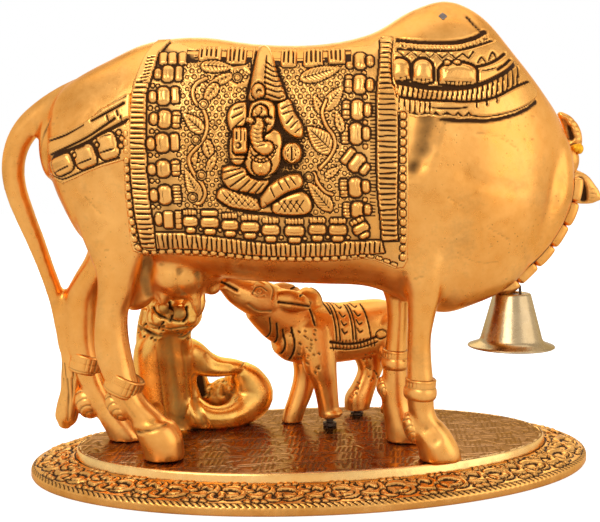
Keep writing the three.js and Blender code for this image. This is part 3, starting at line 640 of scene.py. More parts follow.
def make_head():
    """The head turned to the far side, with its horns, ears and eyes."""
    parts = [tube(loft(HEAD, 40, 48, side=(1, 0, 0), square=2.3, egg=-0.12, ends=(2, 3.5)))]
    for way in (1, -1):
        move = lambda rows: [(HEAD_MIDDLE + way * x, *rest) for x, *rest in rows]
        parts.append(tube(loft(move(HORN), 24, 20, ends=(0, 0.8))))
        parts.append(tube(loft(move(EAR), 24, 28, ends=(0, 0.8))))
        parts.append(ball((HEAD_MIDDLE + way * 10.2, 41.5, 120), (2.4, 4.2, 3.1), (-35, 0, 0), 24))
    parts.append(ball((113.6, 24, 121.5), (4.4, 5, 6.5), around=24))
    head = Cast("cow_head", parts, COW, 0.6, 6)
    head.blend(8)
    tree = tree_of(head)
    etch(head, tree, [(119.6, 113.6), (121, 110), (121.2, 106)], -1, 2.2, 1.3, 0.8)
    for up in (110.4, 108.6, 106.8, 105.4):
        etch(head, tree, [(123.2, up), (125.8, up - 0.6)], -1, 0.5, 0.25, 0.3, 6)
    etch(head, tree, [(111.6, 137), (113, 134)], -1, 2.0, 0.7, 0.5)
    etch(head, tree, [(113.4, 134), (114.6, 130.6)], -1, 2.0, 0.7, 0.75)
    for k in range(5):
        etch(head, tree, [(112.5, 127.5 + 2.4 * k), (118.5 - 0.5 * k, 128.6 + 2.2 * k)], -1, 0.6, 0.3, 0.25)
    circle = [(41.8 + 1.2 * math.cos(a), 120.2 + 1.1 * math.sin(a)) for a in np.linspace(0, 2 * np.pi, 9)]
    for way in (1, -1):
        for line, width, depth, dark in (
                ([(36.6, 122.6), (40, 124.6), (44, 122.8), (46.6, 118.6)], 0.8, 0.5, 0.8),
                ([(36.6, 122.2), (38.6, 118.2), (42.4, 116.2), (46.6, 117.4)], 0.7, 0.4, 0.6),
                ([(35.6, 127), (41, 128), (47.4, 123.6)], 1.5, -0.6, 0.0), (circle, 0.5, 0.35, 0.6),
                ([(62.6, 103.4), (64.4, 102)], 1.3, 1.3, 1.0),
                ([(67, 98), (62, 96.6), (56, 98.4), (50.6, 102)], 0.8, 0.6, 0.9),
                ([(50, 105), (43, 106.6), (36, 109.6)], 1.8, 0.4, 0.1),
                ([(58, 103), (58.6, 99.4)], 1.0, 0.3, 0.15)):
            etch(head, tree, line, way, width, depth, dark, 20, True)
        head.cut([(HEAD_MIDDLE + way * 3.4, 66.6, 101), (HEAD_MIDDLE + way * 4.6, 65.6, 99.5)], 1.5, 1.2, 1)
    head.cut([(96, 62, 95.4), (100, 66.5, 95.2), (105, 66.5, 95.2), (110, 62, 95.4)], 0.8, 0.7, 1, 20)
    return head


CHILD = {
    "torso": [
        (-57, 28.5, FLOOR, 14, 11), (-58, 27.5, 17, 14.2, 12), (-59.6, 25, 27, 13, 10.8),
        (-60, 21, 37, 13.2, 9.4), (-60, 16.5, 45, 12.2, 8), (-58.4, 13, 50.5, 9.4, 6.6),
        (-57, 10, 54.5, 7.6, 5.8), (-56, 7.5, 58, 6.6, 5.4)],
    "arm_to_knee": [(-56, 18, 43.6, 5, 6.6), (-50, 19, 42, 5, 6.4), (-44, 21, 37.6, 4.6, 5.6),
                    (-38, 22, 35.6, 4, 4.4), (-32, 23.4, 35, 3.6, 3.6), (-27.8, 25, 34, 3.2, 3)],
    "arm_raised": [(-66.4, 19, 43, 4.6, 5), (-67.4, 16.5, 49, 4, 4.4), (-67.2, 13.5, 56, 3.6, 3.8),
                   (-66.4, 11, 62, 3.2, 3.2)],
    "thigh_raised": [
        (-51, 22, 17.5, 8, 7.4), (-42, 20.4, 14.6, 5.8, 5.2), (-34, 21.6, 14.4, 5.8, 5.2),
        (-27.6, 25.4, 16.4, 6.4, 7.2), (-23, 28, 21.2, 6.6, 9.2), (-25, 27.6, 28, 6, 7.6),
        (-28.4, 26, 33, 4.8, 4.8)],
    "shin_raised": [(-23.6, 31, 29, 4.4, 4.4), (-30, 37, 22.5, 4.2, 4.4), (-38, 42, 16, 3.8, 4),
                    (-45, 44, 14, 4.4, 3.4)],
    "thigh_flat": [(-62, 29, 17.4, 8, 7), (-68, 37, 16.8, 6.6, 6.2), (-70, 44, 18, 5.4, 5.4)],
    "shin_flat": [(-69, 44, 17, 4.6, 4.8), (-60, 47, 15, 4.2, 4.4), (-51, 48, 14.2, 4.4, 3.8)],
}


def make_child():
    """The seated child, his head thrown back."""
    parts = [
        tube(loft(CHILD["torso"], 50, 48, side=(1, 0, 0), square=2.4)),
        ball((-55, 6, 60.4), (9.6, 8.2, 7.4), (20, 0, 0)),
        ball((-55.2, -2.6, 62.2), (3.4, 3, 3.1), around=24),
        ball((-61.4, -1.6, 64.4), (2.9, 2.8, 2.8), around=24),
        ball((-50.4, -0.4, 59.4), (2.8, 2.6, 2.6), around=24), ball((-64, 3, 60), (4, 4, 5), around=24),
        ball((-35.8, 36, 19.6), (7.8, 4.4, 7), (0, 14, 0), 32), ball((-31, 33, 24), (5, 5, 4.6), around=24),
        ball((-58, 12, 55), (10, 7, 5), around=32), ball((-61, 5, 65.6), (7.4, 6, 4.6), around=32),
        ball((-34, 35, 21.2), (7.4, 4, 7), around=32), ball((-44.4, 36, 24.5), (3.8, 3.4, 6.4), around=24),
        ball((-30, 33, 27.4), (4.4, 4, 5), around=24),
        tube(loft([(-51.8, -1, 59.5, 2, 2.6), (-50.2, -1, 63, 2.2, 4.4), (-48.4, -1, 66.8, 2, 4.2),
                   (-46.8, -1, 70.2, 1.4, 2.4)],
                  20, 24, ends=(0.8, 0.8))),
        ball((-55.5, 13.4, 64.6), (1.5, 1.8, 2), around=20),
        ball((-55.4, 14, 57.8), (3, 2.4, 2), around=20),
    ]
    for name, rows in CHILD.items():
        if name != "torso":
            side = (1, 0, 0) if name == "thigh_flat" else (0, 1, 0)
            parts.append(tube(loft(rows, 30, 28, side=side, ends=(1.5, 1.5))))
    child = Cast("child_body", parts, BASE, 0.5, 8)
    child.blend(16)
    tree = tree_of(child)
    for line, width, depth, dark in (
            ([(-58.5, 49), (-57, 36), (-55.6, 24), (-55, 13)], 5.5, 2.4, 0.26),
            ([(-48.4, 32), (-47.2, 21), (-44.4, 12.5)], 2.6, 1.0, 0.25),
            # The dark mark from (-45.6, 29) to (-44.4, 22) is painted shade in the dark gap inside the
            # child's legs
            ([(-60, 63.4), (-55, 62)], 4.2, 0.3, 0.4), ([(-45.6, 29), (-44.4, 22)], 3.4, 0.2, 0.9),
            ([(-39, 21.6), (-34, 22)], 4.4, 0.1, 0.3),
            ([(-71, 55), (-66, 52.6), (-60, 51), (-54, 50.6), (-49, 53)], 1.3, 0.6, 0.45),
            ([(-58.4, 66), (-58, 62), (-58.6, 58.8)], 1.1, 0.9, 0.5),
            ([(-52.2, 64.5), (-51.8, 61), (-53.4, 58.4)], 0.9, 0.8, 0.4),
            ([(-65, 64), (-62.6, 61), (-59, 59.4), (-55, 58.6)], 0.9, 0.7, 0.4),
            ([(-43, 41), (-40, 37), (-34, 35.4)], 2, 0.4, 0.1),
            ([(-66, 57.4), (-60, 55.2), (-53, 56)], 0.9, 0.5, 0.4),
            ([(-63, 54.8), (-61, 58.2)], 0.7, 0.4, 0.5),
            ([(-28, 35.5), (-25, 38), (-23, 36.5)], 0.7, 0.4, 0.4),
            ([(-64, 20), (-60, 16), (-52, 14)], 3, 0.7, 0.1)):
        etch(child, tree, line, -1, width, depth, dark)
    for _ in range(60):
        x, z = rng.uniform(-72, -48), rng.uniform(49.5, 56.5)
        etch(child, tree, [(x, z), (x + 0.5, z + 0.3)], -1, rng.uniform(0.4, 0.8), 0.35, 0.55, 2)
    for _ in range(70):
        x, z = rng.uniform(-43, -30), rng.uniform(20.5, 27)
        etch(child, tree, [(x, z), (x + 0.6, z + 0.4)], -1, rng.uniform(0.4, 0.8), 0.2, 0.3, 2)
    for way in (-1, 1):
        child.cut([(-55.5 + way * 1.6, 13.6, 63.6), (-55.5 + way * 3.4, 13.2, 63),
                   (-55.5 + way * 5.2, 11.8, 63.4)], 0.6, 0.4, 0.6, 12)
        child.cut([(-55.5 + way * 1.2, 12.6, 66.4), (-55.5 + way * 3.4, 12, 66.8),
                   (-55.5 + way * 5.6, 10.4, 66)], 0.5, 0.25, 0.4, 12)
    child.cut([(-57.6, 14.4, 60.4), (-55.5, 15, 60), (-53.4, 14.4, 60.4)], 0.55, 0.4, 0.7, 12)
    return child


CALF_BODY = {
    "body": [
        (-42, 0, 52, 6.5, 7.5), (-36, 0, 50.6, 9, 11), (-26, 0, 49.2, 10, 12.6), (-14, 0, 48.4, 10, 12.8),
        (-4, 0, 49, 10.2, 13.2), (5, 0, 50, 9.4, 13.6), (11, 0.4, 50.4, 8, 12.4),
        (15.5, 0.6, 51, 6.8, 9.6)],
    "neck": [(0, 0, 54, 7.4, 11), (8, 0.8, 55, 7.2, 12), (15, 2, 57.4, 6.6, 11.6), (22.5, 4, 61.4, 6, 9.6),
             (28, 5.6, 64.6, 5.4, 7.6)],
    "head": [(19.5, 4, 63.6, 5.6, 7), (26.5, 6, 65.4, 6, 7.8), (33, 7.6, 67.8, 5.4, 6.8),
             (38, 8.8, 70, 4.3, 5.6), (42, 9.6, 72.6, 3.6, 4.2), (44, 10, 73.8, 3.3, 3.6)],
    "ear_left": [(21.5, 8.8, 66.2, 1.3, 2.8), (15.5, 9.6, 65, 1.8, 4.3), (9.5, 9.5, 63.2, 1.6, 3.6),
                 (5, 9, 62.2, 0.8, 1.4)],
    "ear_right": [(19, -1.6, 67.4, 1.2, 2.6), (13, -3.4, 67.4, 1.6, 3.4), (7, -4.6, 66.4, 1.5, 3),
                  (3, -5.2, 65.4, 0.7, 1.3)],
    "tail": [(-43, 0, 55, 2.2, 2.4), (-46.6, 0, 48, 2, 2), (-46.8, 0, 38, 2, 2), (-45.6, 0, 30, 2.4, 2.6)],
}
CALF_LEGS = {
    "left_front": [(2, 6, 50, 4.8, 9), (0.2, 6.6, 40, 5, 7.8), (-0.6, 6.8, 34, 4.8, 7),
                   (-2.6, 6.8, 28, 4.2, 5.4), (-4, 6.8, 20, 4, 4.6), (-4.9, 6.8, 13.9, 4.2, 4.6)],
    "right_front": [(2, -5, 48, 4.6, 8), (0.2, -5.6, 36, 4.4, 6), (0.4, -6, 29, 4.2, 5.2),
                    (2.6, -6, 21.5, 4.2, 5), (5.4, -6, 15, 4.2, 4.6), (6.8, -6, FLOOR, 4, 4.4)],
    "left_hind": [(-33, 6, 50, 4.8, 9), (-36, 6, 38, 4.6, 7.4), (-38.6, 6, 29, 4, 5),
                  (-37.4, 6, 21, 4.2, 4.8), (-35.6, 6, 12.2, 4.4, 4.8)],
    "right_hind": [(-30, -6, 50, 4.8, 9.6), (-31.6, -6, 37, 4.6, 8.2), (-32, -6, 30, 4.2, 6),
                   (-29.4, -6, 24, 4.2, 5.8), (-26.4, -6, 18.5, 4.6, 6.6), (-25.2, -6, 12.4, 4.8, 5.6)],
}


def make_calf():
    """The calf with the cuts of its collar, its blanket and its eyes."""
    ends = {"body": (3, 2), "head": (0, 1.6), "tail": (0, 2)}
    parts = [tube(loft(rows, 40, 36, square=2.2 if name == "body" else 2, ends=ends.get(name, (0, 0))))
             for name, rows in CALF_BODY.items()]
    parts += [tube(loft(rows, 36, 26, square=2.2, ends=(7, 0), facing=(0, 0, -1)))
              for rows in CALF_LEGS.values()]
    parts += [ball((-5.2, 7, 15.6), (5.2, 5, 2.4), around=24),
              ball((-35.8, 6, 14), (5, 4.8, 2.2), around=24)]
    parts.append(ball((2.6, 1.5, 62), (6.4, 4.6, 7), (0, 16, 0)))
    calf = Cast("calf_body", parts, CALF, 0.5, 8)
    calf.blend(14)
    tree = tree_of(calf)
    turn = np.linspace(0, 2 * np.pi, 13)
    for x, z, rx, rz, width, depth, dark in ((29.6, 69.4, 1.3, 0.9, 0.45, 0.25, 0.25),
                                             (-27.9, 47.8, 2.6, 1.9, 0.45, 0.4, 0.7)):
        etch(calf, tree, [(x + rx * math.cos(a), z + rz * math.sin(a)) for a in turn], 1, width, depth,
             dark, 36)
    marks = [
        ([(33, 69), (31.2, 71), (28.4, 71.2), (26, 69.6)], 0.5, 0.35, 0.45),
        ([(33, 69), (30.4, 67.6), (27.4, 67.6)], 0.5, 0.25, 0.3),
        ([(32.8, 71.8), (29.6, 73.4), (26.2, 72)], 0.7, -0.4, 0),
        ([(45.6, 74), (42.6, 72.2), (39.6, 70.6)], 0.75, 0.7, 0.9),
        ([(44.4, 71.6), (41, 69.8), (38.6, 68.8)], 0.7, -0.25, 0),
        ([(34.6, 64.6), (30, 61.6), (24, 61)], 0.8, 0.4, 0.3),
        ([(24.5, 73), (22.5, 70), (24, 66)], 0.7, 0.4, 0.3),
        ([(17.4, 52.5), (15.8, 46), (16.6, 40.5)], 0.7, 0.5, 1),
        ([(20.6, 55.4), (19, 48), (20.2, 43.5)], 0.7, 0.5, 1),
        ([(13.6, 53.1), (12, 46), (12.6, 38)], 0.7, 0.5, 1),
        ([(24, 58), (22.6, 52), (23.2, 48.5)], 0.6, 0.4, 0.8),
        ([(6.6, 66), (4.4, 60), (3.6, 54)], 0.9, 0.6, 0.6),
        ([(11, 66.5), (6.3, 68.6), (1, 68.4), (-2.6, 64), (-4.6, 58)], 0.8, 0.5, 0.8),
        ([(20.5, 64.4), (15, 63.6), (9, 62.4), (6, 61.8)], 0.8, 0.5, 0.7)]
    for x, lean in ((-5.4, -1), (-7.1, -1), (-13.4, -1), (-14.8, -1), (-20.6, -2.4)):
        marks.append(([(x, 62.8), (x + lean * 0.4, 54.5), (x + lean, 46.5)], 0.55, 0.5, 1))
    marks += [([(-3.3, 46.4), (-10.9, 44.8), (-18.1, 44.9), (-25.9, 46.9)], 0.8, 0.6, 1),
              ([(-3, 44), (-11, 42.4), (-19, 42.6), (-26.5, 44.6)], 0.5, 0.4, 0.9)]
    for x in np.arange(-4, -26, -1.7):
        marks.append(([(x, 46.4), (x - 1, 42.8)], 0.4, 0.4, 0.9))
    for x in (-10.2, -17.6):
        for z in (60.6, 57.2, 53.8, 50.4):
            marks.append(([(x + 1.3, z + 1), (x + 0.2, z - 0.9), (x - 1.2, z - 0.4)], 0.5, 0.4, 0.9))
    for line, width, depth, dark in marks:
        etch(calf, tree, line, 1, width, depth, 0.75 * dark)
    for line, width, depth, dark in marks[:7] + marks[11:13] + marks[13:20]:
        etch(calf, tree, line, -1, width, depth, 0.6 * dark)
    # rough spots, as left by the mould, on the chest and on the flank
    for low, high, count in (((2, 30), (14, 52), 50), ((-34, 18), (-20, 40), 40)):
        for x, z in rng.uniform(low, high, (count, 2)):
            etch(calf, tree, [(x, z), (x + 0.5, z + 0.4)], 1, rng.uniform(0.4, 0.8), 0.3, 0.35, 2)
    return calf


# ---- Relief: heights drawn over a sheet, then laid on the body ----

def blurred(h, reach):
    """Evened out over a reach in cells, first down, then across."""
    kernel = np.exp(-0.5 * (np.arange(-int(3 * reach), int(3 * reach) + 1) / reach) ** 2)
    kernel /= kernel.sum()
    for _ in range(2):
        padded = np.pad(h, ((len(kernel) // 2,) * 2, (0, 0)), mode="edge")
        h = sum(weight * padded[i:i + len(h)] for i, weight in enumerate(kernel)).T
    return h


def level_on(line, x):
    """The height at x of a line drawn as pairs."""
    return np.interp(x, *zip(*line))


def bearing(turn):
    turn = math.radians(turn)
    return math.cos(turn), math.sin(turn)


def sampled(grid, row, column):
    """Values between those of a grid, for places given in its cells."""
    row, column = (np.clip(place, 0, size - 1.001) for place, size in zip((row, column), grid.shape))
    i, j = row.astype(int), column.astype(int)
    u, v = row - i, column - j
    return ((1 - u) * ((1 - v) * grid[i, j] + v * grid[i, j + 1])
            + u * ((1 - v) * grid[i + 1, j] + v * grid[i + 1, j + 1]))


class Relief:
    """Heights in millimetres over a drawing, whose across and down are in its own units."""

    def __init__(self, across, down, ground):
        self.across, self.down = across, down
        self.x, self.y = np.meshgrid(across, down)
        self.h = np.full(self.x.shape, float(ground))
        self.bold = 1.0

    def window(self, low, high, reach):
        """The rows and columns of a box, with a margin."""
        return tuple(slice(*np.searchsorted(axis, (a - reach, b + reach)))
                     for axis, a, b in ((self.down, low[1], high[1]), (self.across, low[0], high[0])))

    def gap(self, line, reach):
        """A window round a line, and how far its cells are from the line."""
        line = np.asarray(line, float)
        w = self.window(line.min(0), line.max(0), reach)
        x, y = self.x[w], self.y[w]
        gap = np.full(x.shape, 1e9)
        for (ax, ay), (bx, by) in zip(line[:-1], line[1:]):
            ux, uy = bx - ax, by - ay
            t = np.clip(((x - ax) * ux + (y - ay) * uy) / max(ux * ux + uy * uy, 1e-9), 0, 1)
            gap = np.minimum(gap, np.hypot(x - ax - t * ux, y - ay - t * uy))
        return w, gap

    def groove(self, line, width=1.1, depth=0.45, rows=0):
        line = smooth_rows(line, rows) if rows else line
        width, depth = width * self.bold, depth * self.bold
        w, gap = self.gap(line, width)
        self.h[w] -= depth * np.clip(1 - (gap / width) ** 2, 0, 1)

    def stamp(self, w, out, ground, height, edge, moat=1.3):
        """A raised shape where out is below nought, in a sunk margin as wide as the moat."""
        h = self.h[w]
        h = np.where(out < moat, np.minimum(h, ground), h)
        rise = np.sqrt(1 - (1 - np.clip(-out / edge, 0, 1)) ** 2)
        self.h[w] = np.where(out < 0, ground + height * rise, h)

    def cord(self, line, width=1.6, ground=0.3, height=0.7, rows=0, moat=1.0):
        line = smooth_rows(line, rows) if rows else line
        w, gap = self.gap(line, width + moat)
        self.stamp(w, gap - width, ground, height, width, moat)

    def block(self, x, y, turn, long, wide, ground=0.25, height=1.0, soft=2.0, edge=2.6, moat=1.3):
        """A rounded block of half sizes long and wide."""
        reach = math.hypot(long, wide)
        w = self.window((x - reach, y - reach), (x + reach, y + reach), moat)
        c, s = bearing(turn)
        px, py = self.x[w] - x, self.y[w] - y
        a = np.abs(px * c + py * s) - long + soft
        b = np.abs(py * c - px * s) - wide + soft
        out = np.hypot(np.maximum(a, 0), np.maximum(b, 0)) + np.minimum(np.maximum(a, b), 0) - soft
        self.stamp(w, out, ground, height, edge, moat)

    def disc(self, x, y, rx, ry=None, turn=0, ground=0.25, height=1.0, edge=None, moat=1.2):
        ry = ry or rx
        w = self.window((x - max(rx, ry), y - max(rx, ry)), (x + max(rx, ry), y + max(rx, ry)), moat)
        c, s = bearing(turn)
        px, py = self.x[w] - x, self.y[w] - y
        out = (np.hypot((px * c + py * s) / rx, (py * c - px * s) / ry) - 1) * min(rx, ry)
        self.stamp(w, out, ground, height, edge or min(rx, ry), moat)

    def ring(self, x, y, radius, width=0.9, height=0.35):
        w = self.window((x - radius, y - radius), (x + radius, y + radius), width)
        gap = np.abs(np.hypot(self.x[w] - x, self.y[w] - y) - radius)
        self.h[w] += height * np.clip(1 - (gap / width) ** 2, 0, 1)

    def patch(self, outline, ground=0.3, height=1.0, edge=4.0, moat=1.3, rows=0):
        """A shape inside a closed outline."""
        outline = list(outline) + [outline[0]]
        outline = smooth_rows(outline, rows) if rows else np.array(outline, float)
        w, gap = self.gap(outline, moat + 0.5)
        x, y = self.x[w], self.y[w]
        inside = np.zeros(x.shape, bool)
        for (ax, ay), (bx, by) in zip(outline[:-1], outline[1:]):
            if ay != by:
                inside ^= ((ay > y) != (by > y)) & (x < (bx - ax) * (y - ay) / (by - ay) + ax)
        self.stamp(w, np.where(inside, -gap, gap), ground, height, edge, moat)
        return w, inside

    def sheet(self, outline, height, edge):
        """A sheet of its own outline; what lies outside is cut away when it is laid."""
        w, inside = self.patch(outline, -1.0, height, edge, 0.0)
        self.outside = np.ones(self.h.shape, bool)
        self.outside[w] = ~inside

    def lift(self, rise, least, sunk):
        """Raises the sheet clear of the skin, and sinks what lies outside it."""
        self.h = np.maximum(self.h + rise, least)
        self.h[self.outside] = sunk

    def hatch(self, strokes, width=0.85, depth=0.4):
        for stroke in strokes:
            self.groove(stroke, width, depth)

    def leaf(self, root, tip, wide, ribs=6):
        """An almond leaf with a cut midrib and slanting side veins."""
        root, tip = np.array(root, float), np.array(tip, float)
        axis = tip - root
        long = np.hypot(*axis)
        along = axis / long
        side = np.array((-along[1], along[0]))
        at = lambda share, off: root + axis * share + side * (off * wide)
        shares = np.linspace(0, 1, 13)
        half = np.sin(np.pi * shares ** 0.75) ** 0.8
        outline = [at(s, h) for s, h in (*zip(shares, half), *zip(shares[::-1], -half[::-1]))]
        self.patch(outline[:-1], 0.3, 0.75, 2.4, 1.2)
        self.groove([at(s, 0) for s in np.linspace(0.0, 0.92, 6)], 0.9, 0.4)
        for k in range(ribs):
            share = 0.14 + 0.68 * k / max(ribs - 1, 1)
            for way in (1, -1):
                self.groove([at(share, 0.12 * way), at(min(share + 0.13, 0.97), 0.85 * way)], 0.85, 0.38)

    def bud(self, x, y, turn, long, wide, comb=0):
        """A tassel bud of three parts, root to tip, pointing along the turn."""
        c, s = bearing(turn)
        at = lambda a, b=0.0: (x + a * c - b * s, y + a * s + b * c)
        height = 1.15
        for place, half, side, rise, soft, edge in (
                (-0.37, 0.13, 0.9, 0.8, 2.6, 3.2), (0.02, 0.225, 1, 1.15, 0.19 * long, 6.5),
                (0.375, 0.135, 0.64, 1, 0.13 * long, 4.2)):
            self.block(*at(place * long), turn, half * long, side * wide, 0.2, height * rise, soft, edge,
                       1.8)
        for k in range(comb):
            off = (k + 0.5) / comb * 1.7 - 0.85
            self.groove([at(-0.47 * long, off * wide), at(-0.27 * long, off * wide)], 0.9, 0.6)
        self.groove([at(0.05 * long, -0.75 * wide), at(0.08 * long, 0), at(0.05 * long, 0.75 * wide)], 0.9,
                    0.3)

    def rungs(self, one, two, pitch, width=1.15, depth=0.75, axis=1):
        """Cuts between two edge lines, as a ladder has, a little uneven as cut by hand."""
        edges = [sorted((p[axis], p[1 - axis]) for p in line) for line in (one, two)]
        low, high = max(e[0][0] for e in edges), min(e[-1][0] for e in edges)
        for at in np.arange(low + pitch / 2, high, pitch):
            ends = []
            tilt = rng.uniform(-0.7, 0.7)
            for way, edge in zip((-1, 1), edges):
                level = at + rng.uniform(-0.5, 0.5) + way * tilt
                ends.append((level_on(edge, level), level)[::1 if axis else -1])
            a, b = np.array(ends)
            trim, trim2 = 0.05 + 0.08 * rng.random(2)
            self.groove([a + (b - a) * trim, b + (a - b) * trim2], width * rng.uniform(0.85, 1.2),
                        depth * rng.uniform(0.8, 1.1))

    def beads(self, path, pitch, long, wide, ground=0.05, height=0.95, rows=80):
        """Rounded beads along a path."""
        path = smooth_rows(path, rows)
        run = np.concatenate([[0], np.cumsum(np.hypot(*np.diff(path, axis=0).T))])
        for at in np.arange(pitch / 2, run[-1], pitch):
            at += rng.uniform(-0.4, 0.4)
            x, y = (np.interp(at, run, path[:, k]) for k in (0, 1))
            dx, dy = (np.interp(at + 1, run, path[:, k]) - np.interp(at - 1, run, path[:, k])
                      for k in (0, 1))
            self.block(x, y, math.degrees(math.atan2(dy, dx)), long * rng.uniform(0.9, 1.05), wide, ground,
                       height, min(long, wide) * 0.85, min(long, wide) * 0.9, 0.9)

    def dots(self, low, high, pitch, radius=1.9, ground=0.0, height=0.42):
        """A field of ringed dots, in uneven rows."""
        rows = np.arange(low[1], high[1], pitch * 0.87)
        for r, y in enumerate(rows):
            for x in np.arange(low[0] + (r % 2) * pitch / 2, high[0], pitch):
                dx, dy = rng.uniform(-0.9, 0.9, 2)
                size = radius * rng.uniform(0.85, 1.15)
                self.disc(x + dx, y + dy, size, ground=ground, height=height, moat=0.7)
                self.ring(x + dx, y + dy, size + 1.1, 0.8, height * 0.55)


def tree_of(cast):
    """The skin of a body as it stands, for lines to meet."""
    here = cast.own()
    loops = np.empty(len(cast.mesh.loops), np.int32)
    cast.mesh.loops.foreach_get("vertex_index", loops)
    starts = np.empty(len(cast.mesh.polygons) + 1, np.int32)
    cast.mesh.polygons.foreach_get("loop_start", starts[:-1])
    starts[-1] = len(loops)
    faces = [loops[a:b].tolist() for a, b in zip(starts[:-1], starts[1:])]
    return BVHTree.FromPolygons([tuple(c) for c in here], faces)


def shell_points(tree, across, high, way):
    """Where lines across the animal meet her side, for grids of along and up; way -1 is the near side."""
    a, b = (np.arange(places.min() - 3, places.max() + 4.2, SHELL_STEP) for places in (across, high))
    met = np.full((len(b), len(a)), np.nan)
    for i, up in enumerate(b):
        for j, along in enumerate(a):
            hit = tree.ray_cast(Vector((along, way * FAR, up)), Vector((0, -way, 0)))[0]
            if hit is not None:
                met[i, j] = hit.y
    for row in met:
        known = ~np.isnan(row)
        if known.any():
            row[~known] = np.interp(np.flatnonzero(~known), np.flatnonzero(known), row[known])
    for column in met.T:
        known = ~np.isnan(column)
        column[~known] = np.interp(np.flatnonzero(~known), np.flatnonzero(known), column[known])
    met = blurred(met, 1.0)
    depth = sampled(met, (high - b[0]) / SHELL_STEP, (across - a[0]) / SHELL_STEP)
    return np.stack([across, depth, high], axis=2)


def laid(name, relief, tree, place, way, cell, material=RELIEF_GOLD):
    """A relief raised from the cow's side along its normals, cut to its outline and closed behind."""
    points = shell_points(tree, *place(relief.x, relief.y), way)
    down, along = (np.gradient(points, axis=k) for k in (0, 1))
    across = np.cross(along, down)
    normal = unit(np.stack([blurred(across[..., k], 1.5 / cell) for k in range(3)], axis=2))
    inward = np.array((0, -way, 0), float)
    normal *= -np.sign(np.sum(normal * inward))
    fine, broad = (np.clip((blurred(relief.h, reach / cell) - relief.h) / full, 0, 1)
                   for reach, full in ((0.7, 0.2), (1.8, 0.55)))
    bm = net(points + normal * relief.h[..., None])
    mesh = bpy.data.meshes.new(name)
    bm.to_mesh(mesh)
    bm.free()
    mark(mesh, np.maximum(fine, broad).ravel())
    bm = bmesh.new()
    bm.from_mesh(mesh)
    bpy.data.meshes.remove(mesh)
    bm.faces.ensure_lookup_table()
    out = relief.outside
    gone = (out[:-1, :-1] & out[1:, :-1] & out[:-1, 1:] & out[1:, 1:]).ravel()
    bmesh.ops.delete(bm, geom=[bm.faces[i] for i in np.flatnonzero(gone)], context="FACES")
    backed(bm, inward * SKIRT, True)
    to_metres(bm, COW)
    return show(name, bm, material, "cow")


# ---- The hanging cloth; its drawing is 290 units long and 225 high ----

CLOTH_UNIT = 0.3525
LEFT_OUT = [(33, -4), (28, 3), (21, 17), (14, 40), (11, 60), (10, 85), (10, 110), (12.5, 160), (16.5, 210)]
LEFT_IN = [(47, -4), (43, 3), (36, 15), (33, 30), (28.5, 45), (26.5, 60), (27, 110), (29, 160), (32, 190),
           (33, 210)]
RIGHT_IN = [(262, -6), (259, 30), (257, 45), (256, 70), (256, 110), (257.5, 150), (261, 180), (262.5, 200)]
RIGHT_OUT = [(275, -6), (271, 15), (271, 40), (274.5, 50), (276.5, 70), (276.5, 110), (277, 170),
             (278.5, 200)]
LOW_IN = [(33, 192), (60, 192), (90, 195.5), (120, 199), (145, 202), (190, 202), (230, 200.5), (262, 199.5)]
LOW_OUT = [(33, 208.5), (70, 208.5), (100, 212), (145, 215.5), (180, 216.5), (220, 215), (250, 213.5),
           (266, 212)]
CLOTH_EDGE = [
    (31, -4), (19.5, 17), (12, 40), (9, 60), (8.5, 78), (3.5, 84), (3.2, 148), (6, 200), (8, 212),
    (19, 218), (45, 216), (92, 218), (118, 221), (171, 223), (225, 222), (243, 219.5), (258, 222),
    (277, 230), (286, 229), (289.5, 222), (288.5, 68), (279, 61), (278, 48), (275, 38), (274.5, 15),
    (277.5, -6), (262, -8), (252, 2), (180, 7), (72, 5), (48, -4),
]


